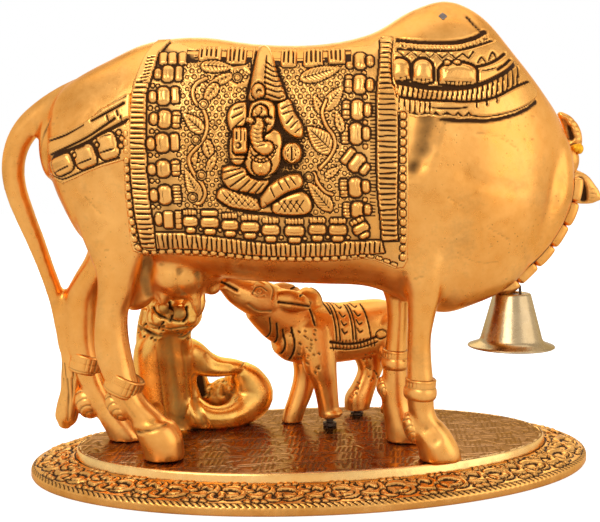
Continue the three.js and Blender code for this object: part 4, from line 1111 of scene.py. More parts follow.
def cloth_drawing(cell, deity):
    """The near cloth, with its seated figure, or the plainer far one with a flower."""
    r = Relief(np.arange(-2, 295, cell / CLOTH_UNIT), np.arange(-11, 236, cell / CLOTH_UNIT), -1.0)
    r.sheet(CLOTH_EDGE, 1.35, 1.4)
    r.dots((60, 24), (234, 172), 7.3, ground=0.05, height=0.5)
    # side and lower ladders
    for one, two in ((LEFT_OUT, LEFT_IN), (RIGHT_IN, RIGHT_OUT), (LOW_IN, LOW_OUT)):
        r.patch([*smooth_rows(one, 30), *smooth_rows(two, 30)[::-1]], 0.05, 1.15, 1.8, 1.6)
    r.rungs([(14, 40)] + LEFT_OUT[4:], [(30, 40)] + LEFT_IN[5:], 5.0)
    for y in np.arange(16, 42, 3.4):
        x = level_on([(b, a) for a, b in LEFT_IN], y)
        r.groove([(x - 9 + rng.uniform(-1, 2), y + 1.5), (x - 2, y)], 0.9, 0.6)
    r.rungs(RIGHT_IN, RIGHT_OUT, 5.2)
    r.rungs(LOW_IN, LOW_OUT, 5.0, axis=0)
    # bead chains
    r.beads([(6.4, 88), (6.8, 130), (8.2, 165), (10, 190), (11.2, 203), (16, 211), (25, 213.5), (40, 212.5),
             (52, 211.8), (90, 213.2), (128, 218), (160, 219), (200, 219.3), (225, 217.6)], 8.9, 3.7, 2.9)
    r.beads([(231, 216.5), (245, 215.5), (258, 217.5), (270, 222), (279, 226)], 8.5, 3.4, 1.8, height=0.8)
    r.beads([(282, 70), (282, 120), (282.6, 160), (284, 195), (284.6, 224)], 8.9, 3.7, 3.1)
    # buds down the sides and along the foot
    for x, y, long, wide, comb in ((48, 33, 28, 8.4, 0), (44.5, 55.5, 30, 9, 0), (46, 78.5, 30, 9, 2),
                                   (43.8, 102, 32, 9.4, 0), (44.5, 127.5, 32, 8.4, 2),
                                   (45.5, 153.5, 31, 9.6, 5)):
        r.bud(x, y, 180 + rng.uniform(-4, 4), long, wide, comb=comb)
        r.disc(32 + rng.uniform(-1, 1), y + 12, 1.8, ground=0.1, height=0.7)
        r.disc(38, y + 12.4, 1.5, ground=0.1, height=0.6)
    for x in (42, 51, 61.5):
        r.block(x, 17.5, 84, 6.6, 4.4, 0.2, 1.1, 3, 3.4)
    for x, y, long, wide, comb in ((240, 20, 27, 8.6, 0), (239, 44, 28, 9.6, 2), (236.5, 69.5, 28, 10, 3),
                                   (235, 93, 28, 10.6, 4), (234.5, 146, 29, 9.8, 4),
                                   (237, 168.5, 28, 8.2, 4)):
        r.bud(x, y, rng.uniform(-4, 4), long, wide, comb=comb)
        r.disc(245 + rng.uniform(-1, 1), y + 12.5, 2.1, ground=0.1, height=0.8)
    r.bud(236, 121.5, 38, 28, 9.6, comb=0)
    for y in np.arange(52, 176, 3.5):
        r.groove([(250, y), (255, y + rng.uniform(-0.6, 0.6))], 0.8, 0.35)
    for x, y, wide, long, comb in ((69.5, 180, 7.4, 24, 4), (89, 181, 9.2, 25, 0),
                                   (109.5, 183.5, 8.4, 24, 4), (129.5, 185.5, 9.3, 24, 4),
                                   (150.5, 188.5, 8.8, 25, 4), (174.5, 189.5, 9.8, 25, 5),
                                   (197.5, 188, 8.6, 24, 3), (218, 188.5, 9, 24, 3)):
        r.bud(x, y, 90, long, wide, comb=comb)
        r.disc(x + 10.4, y + 8, 1.7, ground=0.1, height=0.7)
    r.bud(241, 187, 62, 22, 8, comb=3)
    r.block(47.5, 178.5, 90, 8.6, 5, 0.2, 1.1, 2.4, 3.4)
    r.block(57.5, 178.5, 90, 9, 3, 0.2, 0.95, 1.5, 2.2)
    r.disc(37.5, 178, 4, 6.6, ground=0.2, height=0.9)
    for y in (172, 177, 182):
        r.groove([(55, y), (60, y)], 0.8, 0.4)
    # toothed tongues under the back
    for x0, x1 in ((66, 76), (101, 104), (126, 130), (142, 159), (177, 182), (204, 207), (227, 231)):
        r.patch([(x0, 8), (x1, 8), (x1, 21), (x0, 21)], -0.3, 0.0, 1.0, 1.0)
    for x0, x1, low in ((77, 100, 20), (105, 125, 24), (131, 141, 28), (160, 176, 26), (183, 203, 26),
                        (208, 226, 23)):
        top = 6.5 if x0 < 140 else 9
        r.block((x0 + x1) / 2, (top + low) / 2 - 1, 0, (x1 - x0) / 2, (low - top) / 2 + 1, 0.05, 1.15, 3.2,
                2.4)
        for x in np.arange(x0 + 3.4, x1 - 2, 4.6):
            r.groove([(x, top + 1), (x + rng.uniform(-0.5, 0.5), low - 4 + rng.uniform(-1, 1))], 1.2, 0.9)
    # vines and leaves to the left and the right of the middle
    for root, tip, wide, ribs in (((79, 25), (113, 27), 6.5, 7), ((113, 34), (86, 46), 5, 6),
                                  ((98, 43), (84, 62), 6, 5), ((85, 92), (64, 73), 7, 6),
                                  ((86, 98), (93, 121), 5.5, 5), ((72, 104), (76, 124), 5, 4),
                                  ((81, 160), (66, 128), 7.2, 8), ((88, 130), (97, 112), 4, 3),
                                  ((179, 39), (221, 27), 7.6, 9), ((204, 70), (223, 46), 7, 7),
                                  ((202, 74), (194, 55), 4.8, 5), ((214, 112), (187, 86), 10.5, 8),
                                  ((212, 170), (188, 141), 7.4, 8), ((222, 92), (216, 70), 4.5, 4),
                                  ((205, 136), (219, 126), 4.2, 4)):
        r.leaf(root, tip, wide, ribs=ribs)
    for vine in (
            [(86, 38), (77, 43), (73, 51), (76, 62), (84, 69), (88, 82), (86, 95), (79, 105), (71, 114),
             (70, 122), (75, 133), (83, 143), (85.5, 153), (80, 162), (73, 160)],
            [(206, 60), (202, 72), (206, 85), (213, 95), (214.5, 106), (209, 117), (200, 127)],
            [(194, 132), (198, 142), (205, 150), (212, 153)]):
        r.cord(vine, 1.7, 0.15, 0.95, rows=40)
    for x, y in ((84, 64), (77, 99), (82, 134), (73, 156), (117, 37), (189, 136)):
        r.disc(x, y, 4.6, ground=0.1, height=0.8)
        r.ring(x, y, 3, 0.9, -0.5)
    w, gap = r.gap([(112, 28), (124, 26), (131, 34), (127, 43), (117, 46), (110, 42)], 4)
    r.h[w] = np.maximum(r.h[w], 0.85 * np.clip(1 - (gap / 2.6) ** 2, 0, 1))
    if deity:
        draw_deity(r)
    else:
        petal = lambda turn, reach: (146 + reach * math.cos(turn), 104 + reach * math.sin(turn))
        for turn in np.radians(np.arange(0, 360, 30)):
            r.leaf(petal(turn, 9), petal(turn, 42), 8.5, ribs=5)
        r.disc(146, 104, 12, ground=0.2, height=1.5, edge=6)
        for turn in np.radians(np.arange(0, 360, 36)):
            r.disc(*petal(turn, 15), 2.6, ground=0.3, height=0.9)
    r.lift(0.35, 0.06, -1.1)
    return r


def draw_deity(r):
    """A seated elephant-headed figure in high relief."""
    # seat, crossed legs and folded garment
    r.patch([(98, 149), (106, 146), (140, 152), (180, 149), (190, 156), (192, 165), (188, 173), (140, 171),
             (112, 167), (99, 159)], -0.1, 0.9, 3, 1.8)
    left_shin = [(98, 150), (104, 146), (118, 150), (136, 156), (141, 164), (137, 169), (118, 167),
                 (103, 163), (97, 157)]
    r.patch(left_shin, 0.3, 1.6, 6, 1.3, 40)
    right_shin = [(152, 162), (166, 154), (180, 150), (188, 154), (192, 163), (189, 171), (178, 174),
                  (155, 172)]
    r.patch(right_shin, 0.3, 1.6, 6, 1.3, 40)
    r.hatch([((x, 149 + (x - 100) * 0.16), (x + 11, 163 + (x - 100) * 0.12)) for x in range(102, 134, 6)])
    r.hatch([((x + 11, 150 + (x - 100) * 0.16), (x, 162 + (x - 100) * 0.12)) for x in range(102, 134, 6)])
    r.hatch([((x, 159), (x + 8, 170)) for x in range(158, 182, 6)])
    r.hatch([((x + 8, 158), (x, 170)) for x in range(158, 182, 6)])
    thigh = [(103, 127), (112, 124), (128, 127), (141, 134), (150, 140), (141, 152), (125, 151), (110, 147),
             (103, 138)]
    r.patch(thigh, 0.5, 2.0, 8, 1.3, 40)
    r.hatch([((104, 131), (121, 127)), ((105, 138), (124, 130)), ((111, 145), (128, 133)),
             ((119, 149), (133, 136)), ((128, 151), (139, 139)), ((136, 151), (144, 142))], 1.2, 0.7)
    shin = [(140, 156), (150, 143), (163, 135), (177, 132), (183, 138), (181, 146), (166, 152), (152, 161),
            (142, 166)]
    r.patch(shin, 0.6, 2.1, 7, 1.3, 40)
    r.hatch([((158, 139), (163, 148)), ((164, 136), (170, 146)), ((170, 135), (176, 143)),
             ((151, 146), (155, 155)), ((145, 160), (148, 164))], 1.0, 0.5)
    r.groove([(98, 158), (112, 168), (140, 172.5), (166, 174.5), (192, 174)], 1.5, 0.9)
    # belly, chest and necklace
    r.patch([(127, 92), (142, 88), (160, 91), (163, 108), (160, 124), (152, 135), (142, 138), (131, 134),
             (125, 122), (124, 106)], 0.5, 2.3, 10, 1.5, 50)
    r.disc(142, 124, 10, 10.5, ground=1.4, height=1.9, edge=9, moat=1.0)
    r.ring(142, 128, 2.7, 0.9, 0.4)
    r.beads([(129, 106), (132, 115), (141, 120), (151, 116), (156, 106)], 3.6, 1.7, 1.5, ground=2.0,
            height=0.9)
    r.groove([(128, 133), (142, 136.5), (156, 132)], 1.2, 0.8)
    # ears, arms and hands
    r.patch([(127, 62), (117, 63), (110, 69), (108, 79), (112, 91), (121, 90), (128, 80)], 0.3, 1.6, 5, 1.4,
            40)
    r.hatch([((115, 70), (124, 67)), ((113, 78), (123, 73)), ((116, 86), (124, 79))], 1.1, 0.6)
    r.patch([(156, 62), (164, 58), (171, 61), (175, 72), (183, 86), (182, 97), (172, 96), (163, 88),
             (158, 76)],
            0.3, 2.1, 6, 1.4, 40)
    r.hatch([((162, 70), (172, 65)), ((163, 75), (174, 71)), ((167, 84), (173, 77)), ((171, 88), (178, 81)),
             ((175, 93), (182, 87))], 1.0, 0.6)
    r.patch([(125, 88), (130, 100), (124, 122), (113, 122), (110, 108), (113, 94)], 0.3, 1.7, 5, 1.2, 30)
    r.block(121, 100, 90, 13, 7.6, 0.8, 2.2, 4, 4)
    r.hatch([((117.5, 88), (117.5, 99)), ((121.5, 87), (121.5, 100)), ((125.4, 89), (125.4, 100))], 1.0,
            0.7)
    r.ring(119, 105, 3, 0.9, -0.45)
    r.disc(119, 105, 1.6, ground=2.4, height=0.5)
    r.hatch([((112, 114.5), (129, 114.5)), ((112, 118), (128, 118))], 1.0, 0.7)
    r.disc(172, 112, 10, 11, ground=0.6, height=2.4, edge=8)
    r.cord([(172, 104), (167, 110), (168, 118), (172, 121), (176, 118), (177, 110), (172, 104)], 0.9, 2.2,
           0.8, 20, 0.4)
    r.groove([(172, 107), (172, 119)], 1.0, 0.7)
    r.hatch([((164, 102), (181, 101)), ((164, 98.5), (181, 98))], 0.9, 0.5)
    # crown, head and trunk
    crown = [(136, 7), (142, 4), (149, 8), (154, 20), (158, 34), (163, 47), (164, 61), (131, 62), (130, 48),
             (132, 32), (134, 20)]
    r.patch(crown, 0.1, 3.0, 10, 1.8, 50)
    for k in range(7):
        r.groove([(145.5 - 0.3 * k, 25 + 5 * k), (152 + k, 29 + 5 * k), (157 + 1.1 * k, 25 + 5.4 * k)], 1.2,
                 0.9, 12)
    r.groove([(146, 20), (145, 40), (146, 61)], 1.0, 0.5, 12)
    r.disc(138.5, 53, 7, 7.5, ground=1.6, height=2.6)
    r.disc(139.5, 56, 2.4, ground=3.2, height=0.8)
    r.patch([(131, 64), (142, 60), (154, 64), (156, 76), (153, 88), (145, 94), (136, 93), (130, 82),
             (129, 72)],
            0.8, 2.6, 8, 1.4, 50)
    trunk = [(141, 74), (139, 84), (137, 94), (139, 103), (145, 108), (148, 107)]
    r.cord(trunk[:3], 8.2, 1.3, 2.6, 30, 1.1)
    r.cord(trunk[1:], 6.6, 1.6, 2.2, 30, 0.9)
    for y in range(80, 108, 4):
        r.groove([(132, y + 0.5), (138.5, y + 2.4), (145, y + 0.5)], 0.9, 0.45)
    r.disc(139, 72, 3.2, ground=2.6, height=1.0)
    r.ring(139, 72, 1.9, 0.8, -0.4)
    for x in (148.5, 131.5):
        r.disc(x, 81, 4.6, 3.6, 20, ground=2.0, height=1.1)
        r.ring(x, 81, 3.1, 0.8, -0.5)


def make_cloths(tree):
    for name, cell, deity, way in (("cloth_near", 0.3, True, -1), ("cloth_far", 0.45, False, 1)):
        laid(name, cloth_drawing(cell, deity), tree, cloth_place, way, cell)


# ---- Straps over the hump and over the rump ----

HUMP_EDGE = [
    (12, 40), (20, 33.5), (40, 36), (62, 36.2), (80, 35), (96, 30.5), (106, 25), (111, 26), (117, 30),
    (125, 38), (131, 45), (138, 52), (143, 62), (150, 72), (156, 84), (154, 93), (146, 99), (134, 104.5),
    (120, 108), (105, 110), (90, 109), (78, 110), (66, 107.5), (58, 109), (48, 107), (36, 108.5),
    (26, 106.5), (14, 106.5),
]
DEEP_GROOVE = [(10, 73), (30, 76.5), (50, 79), (70, 79.5), (90, 77.5), (105, 73), (118, 66.5), (128, 60),
               (136, 52)]
BAND_GROOVE = [(14, 87), (22, 89), (40, 90.5), (60, 91.5), (80, 92.5), (100, 91.5), (115, 87.5), (126, 82),
               (136, 77), (146, 73)]


def hump_drawing(cell):
    """A beaded upper edge, a zigzag, three gems and their clasps, and two plaited bands."""
    r = Relief(np.arange(4, 166, cell / 0.355), np.arange(4, 120, cell / 0.3525), -1.0)
    r.bold = 1.2
    r.sheet(HUMP_EDGE, 1.75, 2.2)
    for k in range(24):
        x = 21 + 3.7 * k
        y = level_on(TOP_GROOVE, x)
        r.block(x, y + 5, 90 + rng.uniform(-8, 8), 2.3, 1.3, 0.25, 0.6, 0.9, 1.1, 0.8)
    r.groove([(18, 41.5), (40, 42.5), (60, 43), (80, 41.5), (97, 37), (114, 31)], 1.4, 0.7, 30)
    zigzag = [(12, 48), (17, 43), (24, 49), (31, 43.5), (37, 49), (43, 43.5), (49, 49.5), (55, 44),
              (61, 50), (68, 44.5), (75, 50), (82, 45), (88, 49.5), (93, 43)]
    r.groove(zigzag, 1.0, 0.5)
    r.groove([(x, y + 3.0) for x, y in zigzag[:11]], 0.8, 0.35)
    for x, y, wide, high in ((19.5, 62.4, 9.4, 10.8), (41.5, 63.8, 9.8, 11.6), (77, 66, 19, 11)):
        top = [(x + wide * math.cos(a), y - high * 0.35 - high * 0.75 * math.sin(a))
               for a in np.linspace(0, np.pi, 11)]
        foot = [(x - wide * 0.98, y + high * 0.78), (x, y + high), (x + wide * 0.98, y + high * 0.78)]
        r.patch(top + foot, 0.0, 2.3, 9.5, 2.6)
        r.groove([(x - wide * 0.8, y + high * 0.62), (x, y + high * 0.75),
                  (x + wide * 0.8, y + high * 0.62)], 0.9, 0.5)
        for off in np.linspace(-0.65, 0.65, max(int(wide / 2.4), 3)):
            r.groove([(x + off * wide, y + high * 0.7), (x + off * wide, y + high * 0.95)], 0.8, 0.5)
        r.groove([(x + 0.72 * (px - x), y + 0.8 * (py - y) + 1.5) for px, py in top], 0.8, 0.22)
    r.disc(66, 54.5, 3.2, 2.6, ground=0.3, height=1.3)
    r.disc(76, 54, 3.6, 2.6, ground=0.3, height=1.3)
    r.groove([(96, 57.5), (106, 55), (116, 50.5), (124, 44.5)], 1.6, 0.9, 20)
    r.groove([(97, 54), (101, 48.5), (105.5, 53)], 1.0, 0.5, 12)
    r.groove([(108, 51.5), (112, 43.5), (116, 49)], 1.0, 0.5, 12)
    r.groove([(117, 60), (123, 56), (129, 50.5)], 1.5, 0.8, 12)
    r.groove([(98, 62), (110, 60), (120, 56)], 0.8, 0.3, 12)
    for line, width, depth in ((DEEP_GROOVE, 2.1, 1.6), (BAND_GROOVE, 1.4, 1.1),
                               ([(x, y - 2.4) for x, y in HUMP_EDGE[15:]], 1.3, 0.9)):
        r.groove(line, width, depth, 60)
    r.groove([(108, 23), (111, 26)], 2.4, 1.2)
    for x in np.arange(17, 141, 5.0):
        top = level_on(DEEP_GROOVE, x) + 3
        low = level_on(BAND_GROOVE, x - 2) - 1.5
        if low > top:
            r.groove([(x, top), (x - 1.5 + rng.uniform(-0.5, 0.5), low)], 1.1, 0.75)
    for x in list(np.arange(18, 50, 5.2)) + [96, 106, 116]:
        y = level_on(BAND_GROOVE, x)
        r.groove([(x, y + 2), (x - 0.5, y + (13 if x < 50 else 6))], 1.0, 0.6)
    r.groove([(48, 98), (60, 99.5), (76, 99.5), (86, 98)], 1.0, 0.35, 16)
    for x in range(22, 92, 11):
        r.groove([(x - 5.5, 108.5), (x, 103.8), (x + 5.5, 108.5)], 1.3, 0.9)
    r.lift(0.5, 0.22, -1.2)
    return r


RUMP_EDGE = [
    (3, 48), (25, 42), (45, 33), (63, 19), (88, 5), (94, 4), (94, 69), (83, 72.5), (65, 77.5), (50, 83),
    (35, 89.5), (20, 95), (3, 88),
]


def rump_drawing(cell):
    """A band of three plates between narrow cords."""
    r = Relief(np.arange(-6, 100, cell / 0.357), np.arange(-4, 104, cell / 0.3535), -1.0)
    r.bold = 1.4
    r.sheet(RUMP_EDGE, 1.7, 2.2)
    r.patch([(0, 71), (10, 68.5), (45, 54), (60, 47), (96, 30), (96, 71), (83, 72), (65, 77), (50, 82),
             (35, 88), (20, 93), (0, 86)], 0.0, 0.35, 1.5, 0.5)
    for x, y, long, wide, turn in ((22, 75, 12, 10, -22), (47, 67.5, 11.5, 11.5, -20),
                                   (70.5, 57, 10.5, 13.5, -16)):
        r.block(x, y, turn, long, wide, 0.0, 1.6, 7.5, 6.5, 1.8)
        c, s = bearing(turn)
        r.groove([(x - 0.7 * long * c, y - 0.7 * long * s + 5),
                  (x + 0.7 * long * c, y + 0.7 * long * s + 5)], 0.9, 0.4)
    r.groove([(63, 49), (68, 47), (74, 46)], 0.9, 0.45)
    r.groove([(40, 60), (45, 57.5), (51, 57.5)], 0.9, 0.4)
    for x, y in ((33, 62.5), (36, 66), (57.5, 52.5), (60, 56), (82, 44), (85, 50), (84, 57)):
        r.disc(x, y, 2.6, ground=0.0, height=0.9)
        r.ring(x, y, 2.2, 0.8, -0.3)
    for line, width, depth in (
            ([(30, 36), (50, 29), (63, 22)], 1.1, 0.55), ([(65, 19), (76, 14), (88, 8)], 1.1, 0.55),
            ([(4, 51.5), (25, 46), (45, 36)], 1.2, 0.6), ([(54, 32), (70, 24), (87, 15)], 1.2, 0.65),
            ([(3, 67), (30, 57), (50, 48), (66, 38), (78, 30)], 1.3, 0.65),
            ([(3, 70.5), (45, 55), (60, 47), (92, 31)], 1.7, 0.9),
            ([(3, 85), (20, 90), (35, 85.5), (50, 79.5), (65, 74), (82, 69)], 1.1, 0.5)):
        r.groove(line, width, depth, 24)
    for x, y in ((70, 27), (80, 22), (84, 28)):
        r.groove([(x, y), (x + 1.4, y + 5)], 0.9, 0.4)
    r.lift(0.5, 0.22, -1.2)
    return r


def make_straps(tree):
    for side, way, cell in (("near", -1, 0.36), ("far", 1, 0.5)):
        laid("hump_straps_" + side, hump_drawing(cell), tree, hump_place, way, cell)
        laid("rump_straps_" + side, rump_drawing(cell), tree, rump_place, way, cell)


def make_hump_mark(tree):
    """A small four-cornered bare spot, finely hatched."""
    r = Relief(np.arange(-5, 5.1, 0.4), np.arange(-4.5, 4.6, 0.4), 0.0)
    for off in (-2.4, -0.8, 0.8, 2.4):
        r.groove([(off - 2, 2), (off + 2, -2)], 0.5, 0.12)
    r.h = r.h + 0.22
    r.outside = np.abs(r.x) / 4.2 + np.abs(r.y) / 3.7 > 1
    laid("hump_mark", r, tree, lambda x, y: (58.6 + 0.36 * x, 172.6 - 0.36 * y), -1, 0.15, BARE)


# ---- Anklets, tuft, dewclaws, garland and paint mark of the cow ----

def make_anklets():
    """Ticked rings round the legs; those behind have one broad band, those in front a roll."""
    parts = []
    for name, ((x, y, z, across, along), tilt) in ANKLETS.items():
        banded = "hind" in name
        turn = np.linspace(0, 2 * np.pi, 120, endpoint=False)[:, None]
        level = np.concatenate([np.linspace(-1, 1, 27), np.linspace(1, -1, 5)[1:-1]])[None, :]
        outer = np.concatenate([np.ones(27), np.zeros(3)])[None, :]
        rim = 0.3 * np.exp(-((level - 0.88) / 0.1) ** 2) + 0.3 * (level > 0.2)
        bulge = (0.3 if banded else 0.8) * np.sqrt(np.clip(1 - ((level + 0.4) / 0.64) ** 2, 0, 1))
        roll = (1.0 if banded else 0.3) + rim + bulge
        window = np.clip(0.35 + (np.cos(turn) if banded else -np.cos(turn) - 0.2), 0, 1)
        ticked = (level > (-0.5 if banded else 0.28)) & (level < 0.72)
        tick = 0.34 * np.clip(np.cos(turn * 22) * 3 - 1.7, 0, 1) * window * ticked
        tick = tick + 0.22 * np.exp(-((level + (0.66 if banded else -0.2)) / 0.07) ** 2)
        reach = np.where(outer > 0, (roll - tick) * (1 - 0.7 * np.abs(level) ** 8), -1.2)
        marks = np.where(outer > 0, 0.5 * tick / 0.3, 0) + 0.5 * (np.abs(level) > 0.94)
        points = np.stack([x + (along + 0.1 + reach) * np.cos(turn),
                           y + (across + 0.1 + reach) * np.sin(turn), z + 3.9 * level + 0 * turn], axis=2)
        middle = np.array((x, y, z))
        lean = np.array(Matrix.Rotation(math.radians(tilt), 3, "Y"))
        parts.append(tube((points - middle) @ lean.T + middle, True, marks))
    return show("anklets", gathered(parts, COW), GOLD, "cow")


def make_tuft():
    """Two locks of hair at the tail's end, with cut strands."""
    lock = [(-87, 14.8, 53, 3.9, 3.6), (-85.4, 15, 47, 4.3, 4), (-84.2, 15, 41, 4.6, 4.6),
            (-84.6, 15, 35, 4.2, 4.6), (-85.4, 15, 29, 3.8, 4.2), (-86.6, 15, 23, 4, 4.6),
            (-87.6, 15, 18, 3.8, 4.4), (-88.4, 15, 15, 1.8, 2.4)]
    parts = [tube(loft(lock, 60, 48, side=(0, 1, 0), ends=(2, 1.2))),
             tube(loft([(-80, 15, 45, 3, 4), (-78.6, 15, 37, 3.2, 4.4), (-79.8, 15, 30, 2.6, 3)], 30, 30,
                       ends=(1, 2)))]
    tuft = Cast("tail_tuft", parts, COW, 0.45, 5)
    for k in range(9):
        turn = math.radians(-150 + 15 * k)
        bend = 0.5 * math.sin(2.1 * k)
        line = [(x + (r + 0.1) * math.cos(turn + 0.25 * i) + bend, y + 0.92 * r * math.sin(turn), z)
                for i, (x, y, z, _, r) in enumerate(lock[2 + k % 2:7])]
        tuft.cut(line, 0.6, 0.4, 0.3, 26)
    return tuft


def make_dewclaws():
    """Shells with arcs cut into them."""
    parts = []
    for name, (middle, halves, tilt) in PETALS.items():
        bm = bmesh.new()
        layer = bm.verts.layers.float.new("patina_and_shade")
        bmesh.ops.create_uvsphere(bm, u_segments=72, v_segments=48, radius=1)
        for corner in bm.verts:
            x, _, z = corner.co
            arc = math.hypot(x + 0.1, z + (0.15 if name == "far_front" else 0.9))
            cut = max(0.0, math.cos(arc * 15) * 2.2 - 1.2) if arc < 1.7 else 0
            corner.co *= 1.06 - 0.055 * cut
            corner[layer] = 0.45 * cut
        lean = Matrix.Rotation(math.radians(tilt), 4, "Y")
        shape = Matrix.Translation(middle) @ lean @ Matrix.Diagonal((*halves, 1))
        bmesh.ops.transform(bm, matrix=shape, verts=bm.verts)
        parts.append(bm)
    return show("dewclaws", gathered(parts, COW), GOLD, "cow")


def run_along(path):
    """The length of a path up to each of its points."""
    return np.concatenate([[0], np.cumsum(np.linalg.norm(np.diff(path, axis=0), axis=1))])


def make_garland():
    """Cushion-shaped blocks strung round the neck, with painted shade on the side that faces it."""
    path = smooth_rows(GARLAND, 400)
    run = run_along(path)
    at = lambda d: np.array([np.interp(d, run, path[:, k]) for k in range(3)])
    parts = []
    count = 11
    half = run[-1] / count / 2 - 0.3
    for k in range(count):
        d = run[-1] * (k + 0.5) / count
        rows = []
        for share, size in ((-1, 0.55), (-0.93, 0.84), (-0.78, 1), (-0.4, 1.05), (0, 1.06), (0.4, 1.05),
                            (0.78, 1), (0.93, 0.84), (1, 0.55)):
            rows.append((*at(np.clip(d + share * half, 0, run[-1])), 2.9 * size, 2.35 * size))
        block = loft(rows, 24, 32, side=(0, 1, 0) if k < 6 else (0.6, 0.8, 0), square=3.0,
                     ends=(0.25, 0.25))
        middle = at(d)
        share = np.abs(np.linspace(-1, 1, len(block)))[:, None] + np.zeros(block.shape[:2])
        # The ends of each block take patina; the side that faces the neck is darkened as painted shade
        inner = (block - block.mean(axis=1, keepdims=True)) @ unit(NECK_MIDDLE - middle) / 2.35
        marks = np.clip((share - 0.84) * 6, 0, 1) + np.clip((inner - 0.5) * 3.4, 0, 1)
        parts.append(tube(block, marks=marks))
    return show("garland", gathered(parts, COW), GOLD, "cow")


def make_yellow_mark():
    """Old paint at the root of the near horn."""
    spots = (((115.8, 20.8, 126.3), (1.9, 1.6, 1.7)), ((117.3, 21, 126), (1.6, 1.5, 2.1)))
    return show("yellow_mark", gathered([ball(*spot, around=24) for spot in spots], COW), YELLOW, "cow")


# ---- Base ----

HALF_LONG, HALF_DEEP = 112.5, 67
PLATE_LEVEL = 10.02
PLATE_LONG, PLATE_DEEP, PLATE_CELL = 96, 51, 0.4  # half sizes of the plate's drawing, and its cells


def oval(inset, turn, level):
    return np.stack([(HALF_LONG - inset) * np.cos(turn), (HALF_DEEP - inset) * np.sin(turn),
                     level + 0 * turn], axis=-1)


def scroll_drawing(length, cell):
    """A running leaf scroll; across is along the rim, down goes from its outer to its inner edge."""
    r = Relief(np.arange(0, length, cell), np.arange(0, 14.2, cell), 0.0)

    def comma(cx, cy, radius, start, sweep, wide, height=0.85):
        """A curled leaf that narrows along its turn."""
        turns = start + sweep * np.linspace(0, 1, 11)
        reach = radius * (1 - 0.3 * np.linspace(0, 1, 11))
        half = wide * np.array([0.35, 0.8, 1, 1, 0.92, 0.8, 0.66, 0.52, 0.38, 0.24, 0.08])
        out, back = ([(cx + q * 1.1 * math.cos(a), cy + q * math.sin(a)) for a, q in zip(turns, side)]
                     for side in (reach + half, reach - half))
        r.patch(out + back[::-1], -0.2, height + 0.2, 1.15, 0.45)

    x, up = 1.0, True
    while x < length - 10:
        step = rng.uniform(9.4, 10.6)
        way = 1 if up else -1
        cx, cy, size = x + step * 0.42, 7.1 - way * 1.5, rng.uniform(3.5, 3.9)
        base = np.pi / 2 * way
        comma(x + step * 0.02, 7.1 - way * 3.4, 2.6, base + 0.6, 3.6 * way, 1.15, 0.7)
        comma(x + step * 0.9, 7.1 + way * 3.2, 2.8, -base, 3.8 * way, 1.35, 0.75)
        comma(x + step * 0.92, 7.1 - way * 4.0, 2.4, base, -3.2 * way, 1.2, 0.75)
        comma(cx, cy, size + 0.9, base + 0.9 * way, -4.6 * way, 1.5, 0.9)
        comma(cx, cy, size * 0.5, base - 1.2 * way, -3.6 * way, 1.2, 1.0)
        for off, side in ((0.1, 5.9), (0.62, 6.1), (0.36, 5.8)):
            r.disc(x + off * step, 7.1 + way * side, 1.5, 0.95, 20 * way, ground=-0.2, height=0.85,
                   moat=0.4)
        x, up = x + step, not up
    r.h = np.maximum(r.h, -0.2)
    return r


def make_base():
    """The rim with its notched bead and its scroll, and the step inside it, made bright as a painted
    highlight.
    """
    around = 1440
    turn = np.linspace(0, 2 * np.pi, 20001)
    mid = oval(9, turn, 0)
    run = run_along(mid)
    girth = run[-1]
    turn = np.interp(np.linspace(0, girth, around, endpoint=False), run, turn)
    scroll = scroll_drawing(girth, girth / around)
    pattern = scroll.h[:, :around]
    band = len(pattern)
    profile = [(3, 0), (1.2, 0), (0.45, 0.3), (0, 1.0), (0, 1.8), (0, 2.4), (0.05, 2.9), (0.15, 3.3),
               (0.35, 3.7), (0.6, 4.05), (0.9, 4.35), (1.2, 4.5)]
    notch = {7: 0.25, 8: 0.8, 9: 1.0, 10: 1.0, 11: 0.5}
    foot = [(16.4, 6.85), (16.75, 6.7), (17, 6.45), (17.3, 6.3), (19, 6.3)]
    band_rows = [(1.5 + 14.7 * k / (band - 1), 4.6 + 2.3 * k / (band - 1)) for k in range(band)]
    rings, dark = [], []
    phase = np.arange(around)
    for k, (inset, level) in enumerate(profile):
        cut = notch.get(k, 0) * 0.75 * np.clip(
            np.cos((phase + 1.5 * (k - 7)) * 2 * np.pi / 6) * 2 - 0.7, 0, 1)
        rings.append(oval(inset + cut * 0.8, turn, level - cut * 0.6))
        dark.append(np.clip(cut * 1.6, 0, 1) + (0.5 if k == 11 else 0))
    evened = blurred(np.concatenate([pattern[:, -12:], pattern, pattern[:, :12]], axis=1), 2.2)[:, 12:-12]
    for (inset, level), row, soft in zip(band_rows, pattern, evened):
        rings.append(oval(inset, turn, level + row))
        dark.append(np.clip(np.maximum((soft - row) / 0.16 + 0.12, 0.8 * np.clip((0.02 - row) / 0.2, 0, 1)),
                            0, 0.95))
    for k, (inset, level) in enumerate(foot):
        rings.append(oval(inset, turn, level))
        dark.append(np.full(around, (0.9, 1.0, 1.0, 0.9, 0)[k]))
    bm = tube(np.array(rings), marks=np.array(dark))
    to_metres(bm)
    step = [(17.6, 6.2), (16.9, 6.3), (16.75, 6.5), (16.78, 6.8), (16.95, 7.6), (17.15, 8.5), (17.32, 9.2),
            (17.5, 9.7), (17.75, 9.94), (18, 10), (19, 10), (19, 6.2)]
    turn = turn[::3]
    rings = [oval(inset, turn, level) for inset, level in step]
    ring = tube(np.array(rings).transpose(1, 0, 2), ring=True)
    to_metres(ring)
    # The step's paler gold is a painted highlight
    show("base_step", ring, STEP_HIGHLIT_GOLD, "base")
    return show("base_rim", bm, BASE_GOLD, "base")


